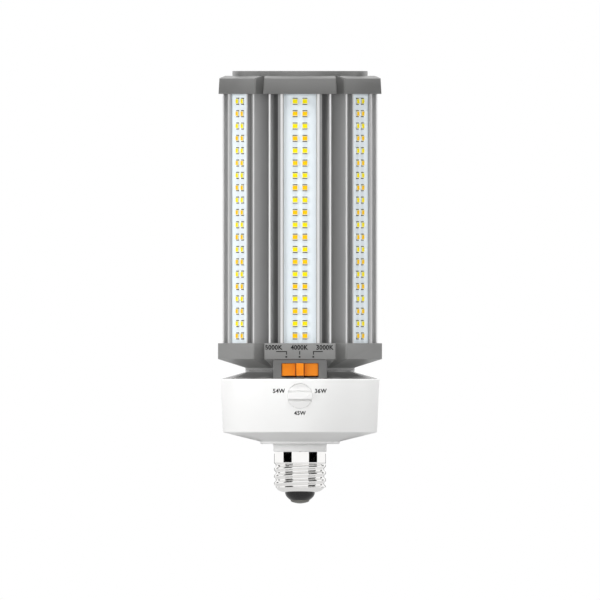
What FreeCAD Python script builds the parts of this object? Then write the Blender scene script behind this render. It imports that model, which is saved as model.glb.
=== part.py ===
import FreeCAD, Part
import math
import os

# A self-ballasted LED lamp of the corn type, on a 26 mm Edison screw cap.
# Millimetres. The origin is on the lamp's axis at the top rim of the screw shell, with +Z up
# towards the crown. The switches face -Y. Lobe 1 faces -Y and the others follow every 60 degrees.
# In the lobe sections, "across" runs along a lobe's face and "out" runs away from the lamp's axis.

# Flat sides that stand for round walls
WIDE_SIDES = 60             # housing and lid
INNER_SIDES = 36
SMALL_SIDES = 24            # insulator and contact
BOARD_SIDES = 12
HEAD_SIDES = 8
SHANK_SIDES = 6

# Screw cap
CAP_RADIUS = 13.05          # plain band under the rim
CAP_BAND = 5.7              # height of the plain band
CAP_WALL = 0.4
CAP_HEIGHT = 20.5           # rim to the rolled foot
CAP_HOLE_RADIUS = 7.6       # in the foot, round the insulator
THREAD_RADIUS = 13.1        # crests
THREAD_DEPTH = 1.15
FOOT_EDGE_RADIUS = 9.4      # flat end of the foot
FOOT_EDGE_RISE = 1.9        # height over which the foot turns in
INSULATOR_RADIUS = 7.5
INSULATOR_DOME = 3.9        # from the foot down to the contact
INSULATOR_DISC_RADIUS = 9.1
INSULATOR_DISC_HEIGHT = 2.4
DOME_STEPS = ((0.62, 0.82), (0.32, 0.55), (0.0, 0.1))   # shares of its narrowing and of its drop
CONTACT_RADIUS = 4.75
CONTACT_DOME = 1.7
EYELET_STEPS = ((0.35, 1.0), (0.68, 0.75), (0.88, 0.4), (1.0, 0.0))     # shares of radius and dome
RIVET_RADIUS = 1.2
RIVET_HEIGHT = 3.0          # above the underside of the insulator's disc

# Driver housing, from the rim of the cap upwards
PLUG_HEIGHT = 5.2           # spigot inside the shell
PLUG_WALL = 1.6
NECK_RADIUS = 13.4
NECK_HEIGHT = 3.93
STEP_RADIUS = 20.0
STEP_HEIGHT = 1.21
STEP_LEDGE = 0.2            # the bottom cone's foot over the step
FLOOR_RISE = 4.64           # height of the bottom cone
WALL_FOOT_RADIUS = 38.8
WALL_TOP_RADIUS = 40.1
WALL_RISE = 26.92
HOUSING_WALL = 2.0

# Housing lid
LID_INSET = 0.6             # lid's edge inside the housing's
LID_CONE_RISE = 3.4
WAIST_RADIUS = 27.5
LID_WAIST_RISE = 1.1
LID_THICKNESS = 2.0
SPIGOT_DEPTH = 3.5
SPIGOT_WALL = 1.9
LID_SCREW_INSET = 5.0       # screw axes inside the bore of the waist
LID_SCREW_DIRECTIONS = (60, 180, 300)
LID_SCREW_STOP = 1.0        # screw ends under the collar's ring
LID_HOLE_INSET = 4.5        # edge of the middle hole inside the screw axes
SNAP_COUNT = 4
SNAP_WIDTH = 6.0
SNAP_HEIGHT = 1.6
SNAP_REACH = 0.6
SNAP_RISE = 0.4             # above the foot of the spigot
KNOB_ROOM = 1.5             # round the knob's flange, in the spigot

# Lower collar
COLLAR_WAIST_RISE = 1.1
COLLAR_BEVEL_RISE = 4.4
COLLAR_RING_RISE = 8.0
COLLAR_SIDE_WALL = 1.95
COLLAR_FACE_WALL = 1.25
COLLAR_HOLE_RADIUS = 9.0
WAIST_WALL = 2.0
CORNER = 0.5                # chamfers of the lobes
FRONT_COUNT = 5             # flats of the bevel under each lobe's face

# Heat sink extrusion
LOBES = 6
SEAT_DEPTH = 5.0            # how far each end enters its end piece
SINK_SHOWN = 125.6          # length seen between the end pieces
SINK_HALF_WIDTH = 15.8      # outer face of the fins
GROOVE_DEPTH = 8.73         # from the tip of the fins in to the foot of the groove
FIN_THICKNESS = 1.2
CHANNEL_RADIUS = 3.5
CHANNEL_DEPTH = 1.4         # from the tip of the fins in to where the curve starts
STEP_WIDTH = 1.25
STEP_DEPTH = 1.9
LIP_THICKNESS = 0.85        # beside the board
LIP_OVERHANG = 0.85         # how far a lip reaches over the board
LIP_RISE = 0.2              # over the tip of the fins
LIP_BEVEL = 0.55
SINK_WALL = 2.35
CORE_FLAT_INSET = 0.8       # edge of the core's flat inside the board's edge
BOSS_INSET = 3.0            # screw axes inside the bore of the waist
BOSS_RADIUS = 3.2
BOSS_WEB = 1.8
TAP_RADIUS = 1.35
SCREW_DIRECTIONS = (30, 150, 270)

# LED boards
BOARD_THICKNESS = 1.0
BOARD_DEPTH = 1.4           # from the tip of the fins in to the board's face
BOARD_END_GAP = 0.5
LED_WIDTH = 2.8
LED_LENGTH = 3.5
LED_HEIGHT = 0.7
LED_ROWS = 20
LED_PITCH = 6.223
LED_COLUMN = 2.47           # column centre to the middle of the board
LED_FIRST_ROW = 3.66        # lowest row's centre above the collar's rim

# Crown cap
CROWN_SIDE_WALL = 2.65
CROWN_FACE_WALL = 0.55
CROWN_SIDE_DRAFT = 0.5
CROWN_FACE_DRAFT = 0.2
CROWN_SKIRT_RISE = 7.8
CROWN_SLOPE_RISE = 2.0
CROWN_SLOPE = 0.45          # rise over run of the lobes' tops
DISC_INSET = 2.9            # disc's edge inside the lobes' faces
DISC_RISE = 1.8
RECESS_MARGIN = 5.5         # corners of the recess outside the screw axes
CROWN_BOSS_RADIUS = 4.0

# Screws
SCREW_RADIUS = 1.3
SCREW_HEAD_RADIUS = 2.7
SCREW_HEAD_RISE = 1.6
SCREW_PASS_RADIUS = 1.6
SCREW_BITE = 8.0

# Watt selector
KNOB_RADIUS = 6.3
KNOB_RISE = 18.32           # axis above the foot of the housing wall
KNOB_FACE_INSET = 0.2       # disc face behind the housing's front
KNOB_BAR_RISE = 1.1
KNOB_BAR_TOP = 1.6          # half width at the top of the bar
KNOB_BAR_FOOT = 2.5
KNOB_PIP = 0.9
KNOB_PIP_OFFSET = 4.1
KNOB_FLANGE_RADIUS = 7.4
KNOB_FLANGE_RISE = 1.2
SHAFT_RADIUS = 2.6
ROTARY_SIZE = 12.0
ROTARY_DEPTH = 6.0
ROTARY_GAP = 6.4            # from the knob's flange to the switch
ROTARY_BACK_WALL = 1.2
SHAFT_END_GAP = 0.3
SELECTOR_BOARD_MARGIN = 3.0

# Colour selector
FRAME_WIDTH = 27.2
FRAME_INSET = 1.1           # frame face behind the collar's face
FRAME_WALL = 1.4
FRAME_FRONT_WALL = 1.6
FRAME_FOOT_WALL = 0.65
WINDOW_WIDTH = 18.8
WINDOW_RISE = 7.2
TRACK_RISE = 6.45
TRACK_INSET = 0.4
TRACK_FLANGE = 1.0
SLIDER_WIDTH = 5.1
SLIDER_PROUD = 0.9
TONGUE_WIDTH = 3.0
TONGUE_THICKNESS = 0.5
SWITCH_CAN_LENGTH = 17.0
SWITCH_CAN_DEPTH = 4.4
SWITCH_CAN_RISE = 4.8
SWITCH_CAN_GAP = 0.6        # behind the track's flange
SWITCH_CAN_LIFT = 0.4
SWITCH_BOARD_THICKNESS = 1.2
SWITCH_LEAD_OFFSET = 10.0   # middle of the three leads
SWITCH_LEAD_SPACING = 1.5
LEVER_WIDTH = 1.8
LEVER_DEPTH = 1.4
FORK_BACK = 1.0             # tongue behind the lever
ROOT_RISE = 1.0
CAVITY_DEPTH = 5.0          # closed part of the frame's foot

# Driver
DRIVER_BOARD_INSET = 3.8    # board's edge inside the housing's bore
DRIVER_BOARD_THICKNESS = 1.6
STANDOFF_INSET = 5.0        # screw axes inside the board's edge
STANDOFF_RISE = 3.72        # board's underside above the foot of the housing wall
STANDOFF_ROOT = 0.33        # posts start this much inside the bottom cone's skin
STANDOFF_DIRECTIONS = (180, 300, 60)
LINK_BOARD_THICKNESS = 1.6
WIRE_RADIUS = 0.8
LEAD_SPACING = 5.0
TRANSFORMER_OFFSET_X = -17.0
TRANSFORMER_OFFSET_Y = 5.0
CORE_WIDTH = 20.0
CORE_DEPTH = 8.0
CORE_HEIGHT = 17.0
BOBBIN_WIDTH = 18.0
BOBBIN_DEPTH = 17.0
BOBBIN_HEIGHT = 2.0
WINDING_WIDTH = 13.0
WINDING_DEPTH = 15.0
WINDING_HEIGHT = 11.0
WINDING_LIFT = 3.0
CHOKE_OFFSET = 17.8
CHOKE_RADIUS = 7.0
CHOKE_BORE_RADIUS = 3.2
CHOKE_HEIGHT = 6.5
CAPACITOR_RADIUS = 6.3
CAPACITOR_HEIGHT = 16.0
CAPACITOR_OFFSET_X = 18.0
CAPACITOR_OFFSET_Y = 2.0
CAPACITOR_SPACING = 14.0
RECTIFIER_WIDTH = 9.0
RECTIFIER_DEPTH = 3.6
RECTIFIER_HEIGHT = 8.0
RECTIFIER_OFFSET_X = -6.0
RECTIFIER_OFFSET_Y = -12.0
TRANSISTOR_WIDTH = 10.0
TRANSISTOR_DEPTH = 4.4
TRANSISTOR_HEIGHT = 9.0
TRANSISTOR_LIFT = 3.0
TRANSISTOR_OFFSET_X = -17.0
TRANSISTOR_OFFSET_Y = -8.0
LEG_WIDTH = 1.0
LEG_DEPTH = 0.8
LEG_SPACING = 2.5
TAB_DEPTH = 1.2
TAB_HEIGHT = 6.5
RESISTOR_RADIUS = 1.8
RESISTOR_LENGTH = 8.0
RESISTOR_LIFT = 2.2
RESISTOR_OFFSET_X = 6.0
RESISTOR_OFFSET_Y = -12.0
RESISTOR_LEG_WIDTH = 0.7
RESISTOR_LEG_SPACING = 6.0
FILM_WIDTH = 11.0
FILM_DEPTH = 4.0
FILM_HEIGHT = 9.0
FILM_OFFSET = 8.5

# Fits
SEAT_CLEARANCE = 0.15       # end piece round the extrusion
FIT = 0.1                   # parts that are pushed together
SHAFT_FIT = 0.06            # radial, for what turns

# Levels that follow from the sizes
STEP_Z = NECK_HEIGHT
FLOOR_Z = STEP_Z + STEP_HEIGHT
WALL_Z = FLOOR_Z + FLOOR_RISE
RIM_Z = WALL_Z + WALL_RISE
LID_CONE_Z = RIM_Z + LID_CONE_RISE
LID_TOP_Z = LID_CONE_Z + LID_WAIST_RISE
BEVEL_Z = LID_TOP_Z + COLLAR_WAIST_RISE
RING_Z = BEVEL_Z + COLLAR_BEVEL_RISE
COLLAR_TOP_Z = RING_Z + COLLAR_RING_RISE
SINK_Z = COLLAR_TOP_Z - SEAT_DEPTH
CROWN_Z = COLLAR_TOP_Z + SINK_SHOWN
SINK_TOP_Z = CROWN_Z + SEAT_DEPTH
SLOPE_Z = CROWN_Z + CROWN_SKIRT_RISE
DISC_Z = SLOPE_Z + CROWN_SLOPE_RISE
CROWN_TOP_Z = DISC_Z + DISC_RISE

# Widths that follow from the sizes
LOBE_TURN = 360.0 / LOBES
APEX = 1.0 / math.tan(math.radians(LOBE_TURN / 2))
FIN_OUT = SINK_HALF_WIDTH * APEX + GROOVE_DEPTH
CHANNEL_TOP_OUT = FIN_OUT - CHANNEL_DEPTH
STEP_HALF_WIDTH = SINK_HALF_WIDTH - FIN_THICKNESS - CHANNEL_RADIUS
STEP_OUT = FIN_OUT - STEP_DEPTH
LIP_HALF_WIDTH = STEP_HALF_WIDTH - STEP_WIDTH
LIP_OUT = FIN_OUT + LIP_RISE
BOARD_WIDTH = 2 * (LIP_HALF_WIDTH - LIP_THICKNESS)
BOARD_OUT = FIN_OUT - BOARD_DEPTH
BOARD_BACK_OUT = BOARD_OUT - BOARD_THICKNESS
CORE_FLAT_HALF_WIDTH = BOARD_WIDTH / 2 - CORE_FLAT_INSET
POCKET_HALF_WIDTH = SINK_HALF_WIDTH + SEAT_CLEARANCE
POCKET_OUT = max(LIP_OUT, FIN_OUT) + SEAT_CLEARANCE
COLLAR_HALF_WIDTH = POCKET_HALF_WIDTH + COLLAR_SIDE_WALL
COLLAR_OUT = POCKET_OUT + COLLAR_FACE_WALL
CROWN_HALF_WIDTH = POCKET_HALF_WIDTH + CROWN_SIDE_WALL
CROWN_OUT = POCKET_OUT + CROWN_FACE_WALL
DISC_RADIUS = CROWN_OUT - DISC_INSET
PLUG_RADIUS = CAP_RADIUS - CAP_WALL - FIT
PLUG_BORE = PLUG_RADIUS - PLUG_WALL
THREAD_MEAN_RADIUS = THREAD_RADIUS - THREAD_DEPTH / 2
THREAD_BORE = THREAD_MEAN_RADIUS - CAP_WALL
WAIST_BORE = WAIST_RADIUS - WAIST_WALL
HOUSING_BORE = min(WALL_FOOT_RADIUS, WALL_TOP_RADIUS) - HOUSING_WALL
SPIGOT_RADIUS = HOUSING_BORE - 2 * FIT
DRIVER_BOARD_RADIUS = HOUSING_BORE - DRIVER_BOARD_INSET
STANDOFF_OFFSET = DRIVER_BOARD_RADIUS - STANDOFF_INSET
LID_RADIUS = WALL_TOP_RADIUS - LID_INSET
LID_SCREW_OFFSET = WAIST_BORE - LID_SCREW_INSET
LID_HOLE_RADIUS = LID_SCREW_OFFSET - LID_HOLE_INSET
BOSS_OFFSET = WAIST_BORE - BOSS_INSET
RECESS_RADIUS = BOSS_OFFSET + RECESS_MARGIN
FRAME_OUT = COLLAR_OUT - FRAME_INSET
CAVITY_OUT = FRAME_OUT - FRAME_FRONT_WALL
CAVITY_HALF = FRAME_WIDTH / 2 - FRAME_WALL

# Places that follow from both
SEAT_Z = CAP_WALL + FIT / 2 - CAP_HEIGHT
CONTACT_Z = -CAP_HEIGHT - INSULATOR_DOME
DRIVER_Z = WALL_Z + STANDOFF_RISE
DRIVER_TOP_Z = DRIVER_Z + DRIVER_BOARD_THICKNESS
FLOOR_SLOPE = FLOOR_RISE / (WALL_FOOT_RADIUS - STEP_RADIUS)
STANDOFF_Z = FLOOR_Z + FLOOR_SLOPE * (STANDOFF_OFFSET + BOSS_RADIUS - STEP_RADIUS) + STANDOFF_ROOT
SPIGOT_Z = RIM_Z - SPIGOT_DEPTH
LID_FLANGE_Z = LID_TOP_Z - LID_THICKNESS - LID_WAIST_RISE / 2
CROWN_SEAT_Z = CROWN_TOP_Z - SCREW_HEAD_RISE - 2 * FIT
FRAME_FOOT_Z = RIM_Z + FIT
WINDOW_Z = FRAME_FOOT_Z + FRAME_FOOT_WALL
WINDOW_TOP_Z = WINDOW_Z + WINDOW_RISE
CAVITY_TOP_Z = WINDOW_TOP_Z + TRACK_FLANGE
TRACK_OUT = FRAME_OUT - TRACK_INSET
TRACK_TOP_Z = WINDOW_TOP_Z - FIT / 2
TRACK_Z = TRACK_TOP_Z - TRACK_RISE
CAN_OUT = CAVITY_OUT - TRACK_FLANGE - SWITCH_CAN_GAP
CAN_Z = TRACK_Z + SWITCH_CAN_LIFT
SWITCH_BOARD_OUT = CAN_OUT - SWITCH_CAN_DEPTH
LEVER_OUT = CAN_OUT - SWITCH_CAN_DEPTH / 2 + LEVER_DEPTH / 2
TONGUE_Z = TRACK_Z - FIT - TONGUE_THICKNESS
KNOB_Z = WALL_Z + KNOB_RISE
WALL_DRAFT = (WALL_TOP_RADIUS - WALL_FOOT_RADIUS) / WALL_RISE
KNOB_FACE_OUT = WALL_FOOT_RADIUS + WALL_DRAFT * KNOB_RISE - KNOB_FACE_INSET
FLANGE_OUT = math.sqrt(HOUSING_BORE ** 2 - KNOB_FLANGE_RADIUS ** 2) - 2 * FIT
FLANGE_BACK_OUT = FLANGE_OUT - KNOB_FLANGE_RISE
ROTARY_FRONT_OUT = FLANGE_BACK_OUT - ROTARY_GAP
ROTARY_BACK_OUT = ROTARY_FRONT_OUT - ROTARY_DEPTH


def vec(x, y, z=0.0):
    return FreeCAD.Vector(x, y, z)


def polar(radius, direction, z=0.0):
    """A point at a radius, in a direction counted from the front of the lamp."""
    turn = math.radians(direction)
    return vec(radius * math.sin(turn), -radius * math.cos(turn), z)


def lobe_point(lobe, across, out, z):
    """A point given by its place in one lobe's section."""
    turn = math.radians(lobe * LOBE_TURN)
    x = across * math.cos(turn) + out * math.sin(turn)
    y = across * math.sin(turn) - out * math.cos(turn)
    return vec(x, y, z)


def edge(points):
    """A straight edge for two points, and an arc through three."""
    if len(points) == 2:
        return Part.LineSegment(*points).toShape()
    return Part.Arc(*points).toShape()


def polygon_face(corners):
    return Part.Face(Part.makePolygon(corners + corners[:1]))


def turned_solid(outline):
    """A solid of revolution from (radius, z) corners."""
    corners = [vec(r, 0, z) for r, z in outline]
    return polygon_face(corners).revolve(vec(0, 0), vec(0, 0, 1), 360)


def flat_sided_solid(rings):
    """A solid through rings of corners, closed with flat faces."""
    faces = [polygon_face(rings[0]), polygon_face(rings[-1])]
    for low, high in zip(rings, rings[1:]):
        for index in range(len(low)):
            faces.append(polygon_face([low[index - 1], low[index], high[index]]))
            faces.append(polygon_face([low[index - 1], high[index], high[index - 1]]))
    shell = Part.makeShell(faces)
    shell.sewShape()
    solid = Part.makeSolid(shell)
    if solid.Volume < 0:
        solid.reverse()
    return solid.removeSplitter()


def flat_turned(sides, outline):
    """A flat-sided body round the lamp's axis from (radius, z) corners, lowest first."""
    turns = [360.0 / sides * index for index in range(sides)]
    return flat_sided_solid([[polar(r, turn, z) for turn in turns] for r, z in outline])


def prism(sides, radius, height, base):
    """An upright prism with its corners on a circle."""
    corners = [base + polar(radius, 360.0 / sides * index) for index in range(sides)]
    return polygon_face(corners).extrude(vec(0, 0, height))


def box(x0, x1, y0, y1, z0, z1):
    return Part.makeBox(x1 - x0, y1 - y0, z1 - z0, vec(x0, y0, z0))


def cylinder(radius, height, base, axis=None):
    return Part.makeCylinder(radius, height, base, axis or vec(0, 0, 1))


def lobe_corners(half_width, out, z, spans=1):
    """Corners of six plain lobes with chamfered edges, all the way round."""
    straight = half_width - CORNER
    face = [(straight * (2.0 * index / spans - 1), out) for index in range(spans + 1)]
    side = [(-half_width, half_width * APEX), (-half_width, out - CORNER)]
    section = side + face + [(half_width, out - CORNER)]
    return [lobe_point(lobe, across, reach, z) for lobe in range(LOBES) for across, reach in section]


def lobed_prism(half_width, out, z0, z1):
    return polygon_face(lobe_corners(half_width, out, z0)).extrude(vec(0, 0, z1 - z0))


def lobed_face(section, z):
    """A face whose outline repeats one lobe's edges all the way round."""
    edges = []
    for lobe in range(LOBES):
        for points in section:
            edges.append(edge([lobe_point(lobe, across, out, z) for across, out in points]))
    return Part.Face(Part.Wire(edges))


def screw(place, up, length):
    """A pan-head screw. Its place is where the head's underside meets the shank."""
    head_foot = place - vec(0, 0, SCREW_HEAD_RISE) if up else place
    shank_foot = place if up else place - vec(0, 0, length)
    head = prism(HEAD_SIDES, SCREW_HEAD_RADIUS, SCREW_HEAD_RISE, head_foot)
    shank = prism(SHANK_SIDES, SCREW_RADIUS, length, shank_foot)
    return head.fuse(shank).removeSplitter()


def screw_shell():
    """Thin plated shell: plain band, the thread's zone at its mean radius, and the foot turned in."""
    foot_z = FOOT_EDGE_RISE - CAP_HEIGHT
    band = cylinder(CAP_RADIUS, CAP_BAND, vec(0, 0, -CAP_BAND))
    body = flat_turned(INNER_SIDES, [
        (FOOT_EDGE_RADIUS, -CAP_HEIGHT),
        (THREAD_MEAN_RADIUS, foot_z),
        (THREAD_MEAN_RADIUS, -CAP_BAND),
    ])
    bore = flat_turned(INNER_SIDES, [
        (FOOT_EDGE_RADIUS, CAP_WALL - CAP_HEIGHT),
        (THREAD_BORE, foot_z),
        (THREAD_BORE, 0),
    ])
    shell = band.fuse(body).cut(bore)
    shell = shell.cut(cylinder(CAP_RADIUS - CAP_WALL, CAP_BAND, vec(0, 0, CAP_WALL - CAP_BAND)))
    shell = shell.cut(prism(SMALL_SIDES, CAP_HOLE_RADIUS, CAP_WALL, vec(0, 0, -CAP_HEIGHT)))
    return shell.removeSplitter()


def base_insulator():
    """Glass button: a disc inside the shell and a dome through the hole in its foot."""
    narrowing = INSULATOR_RADIUS - CONTACT_RADIUS
    dome = [(INSULATOR_RADIUS - share * narrowing, -CAP_HEIGHT - drop * INSULATOR_DOME)
            for share, drop in DOME_STEPS]
    button = flat_turned(SMALL_SIDES, [(CONTACT_RADIUS, CONTACT_Z)] + dome + [
        (INSULATOR_RADIUS, SEAT_Z),
        (INSULATOR_DISC_RADIUS, SEAT_Z),
        (INSULATOR_DISC_RADIUS, SEAT_Z + INSULATOR_DISC_HEIGHT),
    ])
    bore_height = SEAT_Z + INSULATOR_DISC_HEIGHT - CONTACT_Z
    return button.cut(prism(SHANK_SIDES, RIVET_RADIUS + FIT / 2, bore_height, vec(0, 0, CONTACT_Z)))


def center_contact():
    """Domed eyelet with the rivet that carries the line wire."""
    eyelet = flat_turned(SMALL_SIDES, [(share * CONTACT_RADIUS, CONTACT_Z - drop * CONTACT_DOME)
                                       for share, drop in EYELET_STEPS])
    rivet = prism(SHANK_SIDES, RIVET_RADIUS, SEAT_Z + RIVET_HEIGHT - CONTACT_Z, vec(0, 0, CONTACT_Z))
    return eyelet.fuse(rivet).removeSplitter()


def driver_housing():
    """White cup: plug in the shell, neck, step, bottom cone, drafted wall and standoffs."""
    neck = turned_solid([
        (PLUG_BORE, -PLUG_HEIGHT),
        (PLUG_RADIUS, -PLUG_HEIGHT),
        (PLUG_RADIUS, 0),
        (NECK_RADIUS, 0),
        (NECK_RADIUS, STEP_Z),
        (STEP_RADIUS, STEP_Z),
        (STEP_RADIUS, FLOOR_Z + HOUSING_WALL),
        (PLUG_BORE, FLOOR_Z + HOUSING_WALL),
    ])
    cup = flat_turned(WIDE_SIDES, [
        (STEP_RADIUS + STEP_LEDGE, FLOOR_Z),
        (WALL_FOOT_RADIUS, WALL_Z),
        (WALL_TOP_RADIUS, RIM_Z),
    ])
    inside = flat_turned(WIDE_SIDES, [
        (STEP_RADIUS, FLOOR_Z + HOUSING_WALL),
        (HOUSING_BORE, WALL_Z + HOUSING_WALL),
        (HOUSING_BORE, RIM_Z),
    ])
    cup = cup.cut([inside, cylinder(STEP_RADIUS - STEP_LEDGE, HOUSING_WALL, vec(0, 0, FLOOR_Z))]).fuse(neck)
    cup = cup.cut(cylinder(KNOB_RADIUS + SHAFT_FIT, WALL_TOP_RADIUS, vec(0, 0, KNOB_Z), vec(0, -1, 0)))
    for direction in STANDOFF_DIRECTIONS:
        foot = polar(STANDOFF_OFFSET, direction, STANDOFF_Z)
        tap = polar(STANDOFF_OFFSET, direction, WALL_Z)
        cup = cup.fuse(prism(SHANK_SIDES, BOSS_RADIUS, DRIVER_Z - STANDOFF_Z, foot))
        cup = cup.cut(prism(SHANK_SIDES, TAP_RADIUS, STANDOFF_RISE, tap))
    for index in range(SNAP_COUNT):
        cup = cup.cut(snap_block(index, FIT))
    return cup.removeSplitter()


def snap_block(index, gap):
    """One snap barb between the lid's spigot and the housing wall, grown by a gap."""
    direction = 360.0 / SNAP_COUNT * (index + 0.5)
    half = SNAP_WIDTH / 2 + gap
    reach = SPIGOT_RADIUS + SNAP_REACH + 2 * gap
    foot_z = SPIGOT_Z + SNAP_RISE
    block = box(-half, half, -reach, SPIGOT_WALL / 2 - SPIGOT_RADIUS,
                foot_z - gap, foot_z + SNAP_HEIGHT + gap)
    block.rotate(vec(0, 0), vec(0, 0, 1), direction)
    return block


def housing_lid():
    """Grey cone that closes the cup, notched at the front for the switch frame."""
    lid = flat_turned(WIDE_SIDES, [
        (LID_RADIUS, RIM_Z),
        (WAIST_RADIUS, LID_CONE_Z),
        (WAIST_RADIUS, LID_TOP_Z),
    ])
    spigot = prism(INNER_SIDES, SPIGOT_RADIUS, SPIGOT_DEPTH, vec(0, 0, SPIGOT_Z))
    bore = prism(INNER_SIDES, SPIGOT_RADIUS - SPIGOT_WALL, SPIGOT_DEPTH, vec(0, 0, SPIGOT_Z))
    lid = lid.cut(prism(INNER_SIDES, WAIST_BORE, LID_FLANGE_Z - RIM_Z, vec(0, 0, RIM_Z)))
    lid = lid.cut(prism(INNER_SIDES, LID_HOLE_RADIUS, LID_TOP_Z - LID_FLANGE_Z, vec(0, 0, LID_FLANGE_Z)))
    half = FRAME_WIDTH / 2 + 2 * FIT
    notch_back = math.sqrt(WAIST_BORE ** 2 - half ** 2) - 2 * FIT
    lid = lid.cut(box(-half, half, -LID_RADIUS, -notch_back, RIM_Z, LID_TOP_Z))
    lid = lid.fuse(spigot.cut(bore))
    knob_room = KNOB_FLANGE_RADIUS + KNOB_ROOM
    lid = lid.cut(box(-knob_room, knob_room, -WALL_TOP_RADIUS, -WAIST_RADIUS, SPIGOT_Z, RIM_Z - 5 * FIT))
    for index in range(SNAP_COUNT):
        lid = lid.fuse(snap_block(index, 0))
    for direction in LID_SCREW_DIRECTIONS:
        lid = lid.cut(prism(SHANK_SIDES, SCREW_PASS_RADIUS, LID_TOP_Z - LID_FLANGE_Z,
                            polar(LID_SCREW_OFFSET, direction, LID_FLANGE_Z)))
    return lid.removeSplitter()


def lid_screws():
    reach = RING_Z - LID_FLANGE_Z - LID_SCREW_STOP
    return [screw(polar(LID_SCREW_OFFSET, direction, LID_FLANGE_Z), True, reach)
            for direction in LID_SCREW_DIRECTIONS]


def lower_collar():
    """Lobed end piece: pocket for the extrusion, bevel to the round waist, switch frame."""
    ring = lobed_prism(COLLAR_HALF_WIDTH, COLLAR_OUT, RING_Z, COLLAR_TOP_Z)
    rim = lobe_corners(COLLAR_HALF_WIDTH, COLLAR_OUT, RING_Z, FRONT_COUNT)
    waist = [vec(corner.x, corner.y).normalize() * WAIST_RADIUS for corner in rim]
    rings = [[corner + vec(0, 0, z) for corner in waist] for z in (LID_TOP_Z, BEVEL_Z)]
    bevel = flat_sided_solid(rings + [rim])
    half = FRAME_WIDTH / 2
    frame = box(-half, half, -FRAME_OUT, -WAIST_BORE / 2, FRAME_FOOT_Z, RING_Z)
    collar = ring.fuse([bevel, frame])
    collar = collar.cut(lobed_prism(POCKET_HALF_WIDTH, POCKET_OUT, SINK_Z, COLLAR_TOP_Z))
    collar = collar.cut(prism(INNER_SIDES, WAIST_BORE, RING_Z - FRAME_FOOT_Z, vec(0, 0, FRAME_FOOT_Z)))
    collar = collar.cut(box(-CAVITY_HALF, CAVITY_HALF, -CAVITY_OUT, 0, WINDOW_Z, CAVITY_TOP_Z))
    collar = collar.cut(box(-CAVITY_HALF, CAVITY_HALF, CAVITY_DEPTH - CAVITY_OUT, 0,
                            FRAME_FOOT_Z, CAVITY_TOP_Z))
    collar = collar.cut(box(-WINDOW_WIDTH / 2, WINDOW_WIDTH / 2, -FRAME_OUT, -CAVITY_OUT,
                            WINDOW_Z, WINDOW_TOP_Z))
    for direction in LID_SCREW_DIRECTIONS:
        foot = polar(LID_SCREW_OFFSET, direction, LID_TOP_Z)
        collar = collar.fuse(prism(SHANK_SIDES, BOSS_RADIUS, RING_Z - LID_TOP_Z, foot))
        collar = collar.cut(prism(SHANK_SIDES, TAP_RADIUS, RING_Z - LID_TOP_Z, foot))
    for direction in SCREW_DIRECTIONS:
        collar = collar.cut(prism(SHANK_SIDES, SCREW_PASS_RADIUS, SINK_Z - RING_Z,
                                  polar(BOSS_OFFSET, direction, RING_Z)))
    collar = collar.cut(prism(BOARD_SIDES, COLLAR_HOLE_RADIUS, SINK_Z - RING_Z, vec(0, 0, RING_Z)))
    return collar.removeSplitter()


def sink_lobe():
    """Half of one lobe's section from the groove to the board slot, then its mirror image."""
    fin_in = SINK_HALF_WIDTH - FIN_THICKNESS
    tip = FIN_THICKNESS / 3
    sag = CHANNEL_RADIUS * math.sqrt(0.5)
    lip_in = BOARD_WIDTH / 2 - LIP_OVERHANG
    slot_half = BOARD_WIDTH / 2 + FIT
    slot_top = BOARD_OUT + FIT / 2
    groove = SINK_HALF_WIDTH * APEX
    half = [
        [(-SINK_HALF_WIDTH, groove), (-SINK_HALF_WIDTH, FIN_OUT - tip)],
        [(-SINK_HALF_WIDTH, FIN_OUT - tip), (tip - SINK_HALF_WIDTH, FIN_OUT)],
        [(tip - SINK_HALF_WIDTH, FIN_OUT), (-fin_in - tip, FIN_OUT)],
        [(-fin_in - tip, FIN_OUT), (-fin_in, FIN_OUT - tip)],
        [(-fin_in, FIN_OUT - tip), (-fin_in, CHANNEL_TOP_OUT)],
        [(-fin_in, CHANNEL_TOP_OUT), (-STEP_HALF_WIDTH - sag, CHANNEL_TOP_OUT - sag),
         (-STEP_HALF_WIDTH, CHANNEL_TOP_OUT - CHANNEL_RADIUS)],
        [(-STEP_HALF_WIDTH, CHANNEL_TOP_OUT - CHANNEL_RADIUS), (-STEP_HALF_WIDTH, STEP_OUT)],
        [(-STEP_HALF_WIDTH, STEP_OUT), (-LIP_HALF_WIDTH, STEP_OUT)],
        [(-LIP_HALF_WIDTH, STEP_OUT), (-LIP_HALF_WIDTH, LIP_OUT)],
        [(-LIP_HALF_WIDTH, LIP_OUT), (-lip_in - LIP_BEVEL, LIP_OUT)],
        [(-lip_in - LIP_BEVEL, LIP_OUT), (-lip_in, LIP_OUT - LIP_BEVEL)],
        [(-lip_in, LIP_OUT - LIP_BEVEL), (-lip_in, slot_top)],
        [(-lip_in, slot_top), (-slot_half, slot_top)],
        [(-slot_half, slot_top), (-slot_half, BOARD_BACK_OUT)],
    ]
    mirrored = [[(-across, out) for across, out in reversed(points)] for points in reversed(half)]
    floor = [[(-slot_half, BOARD_BACK_OUT), (slot_half, BOARD_BACK_OUT)]]
    return half + floor + mirrored


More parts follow.
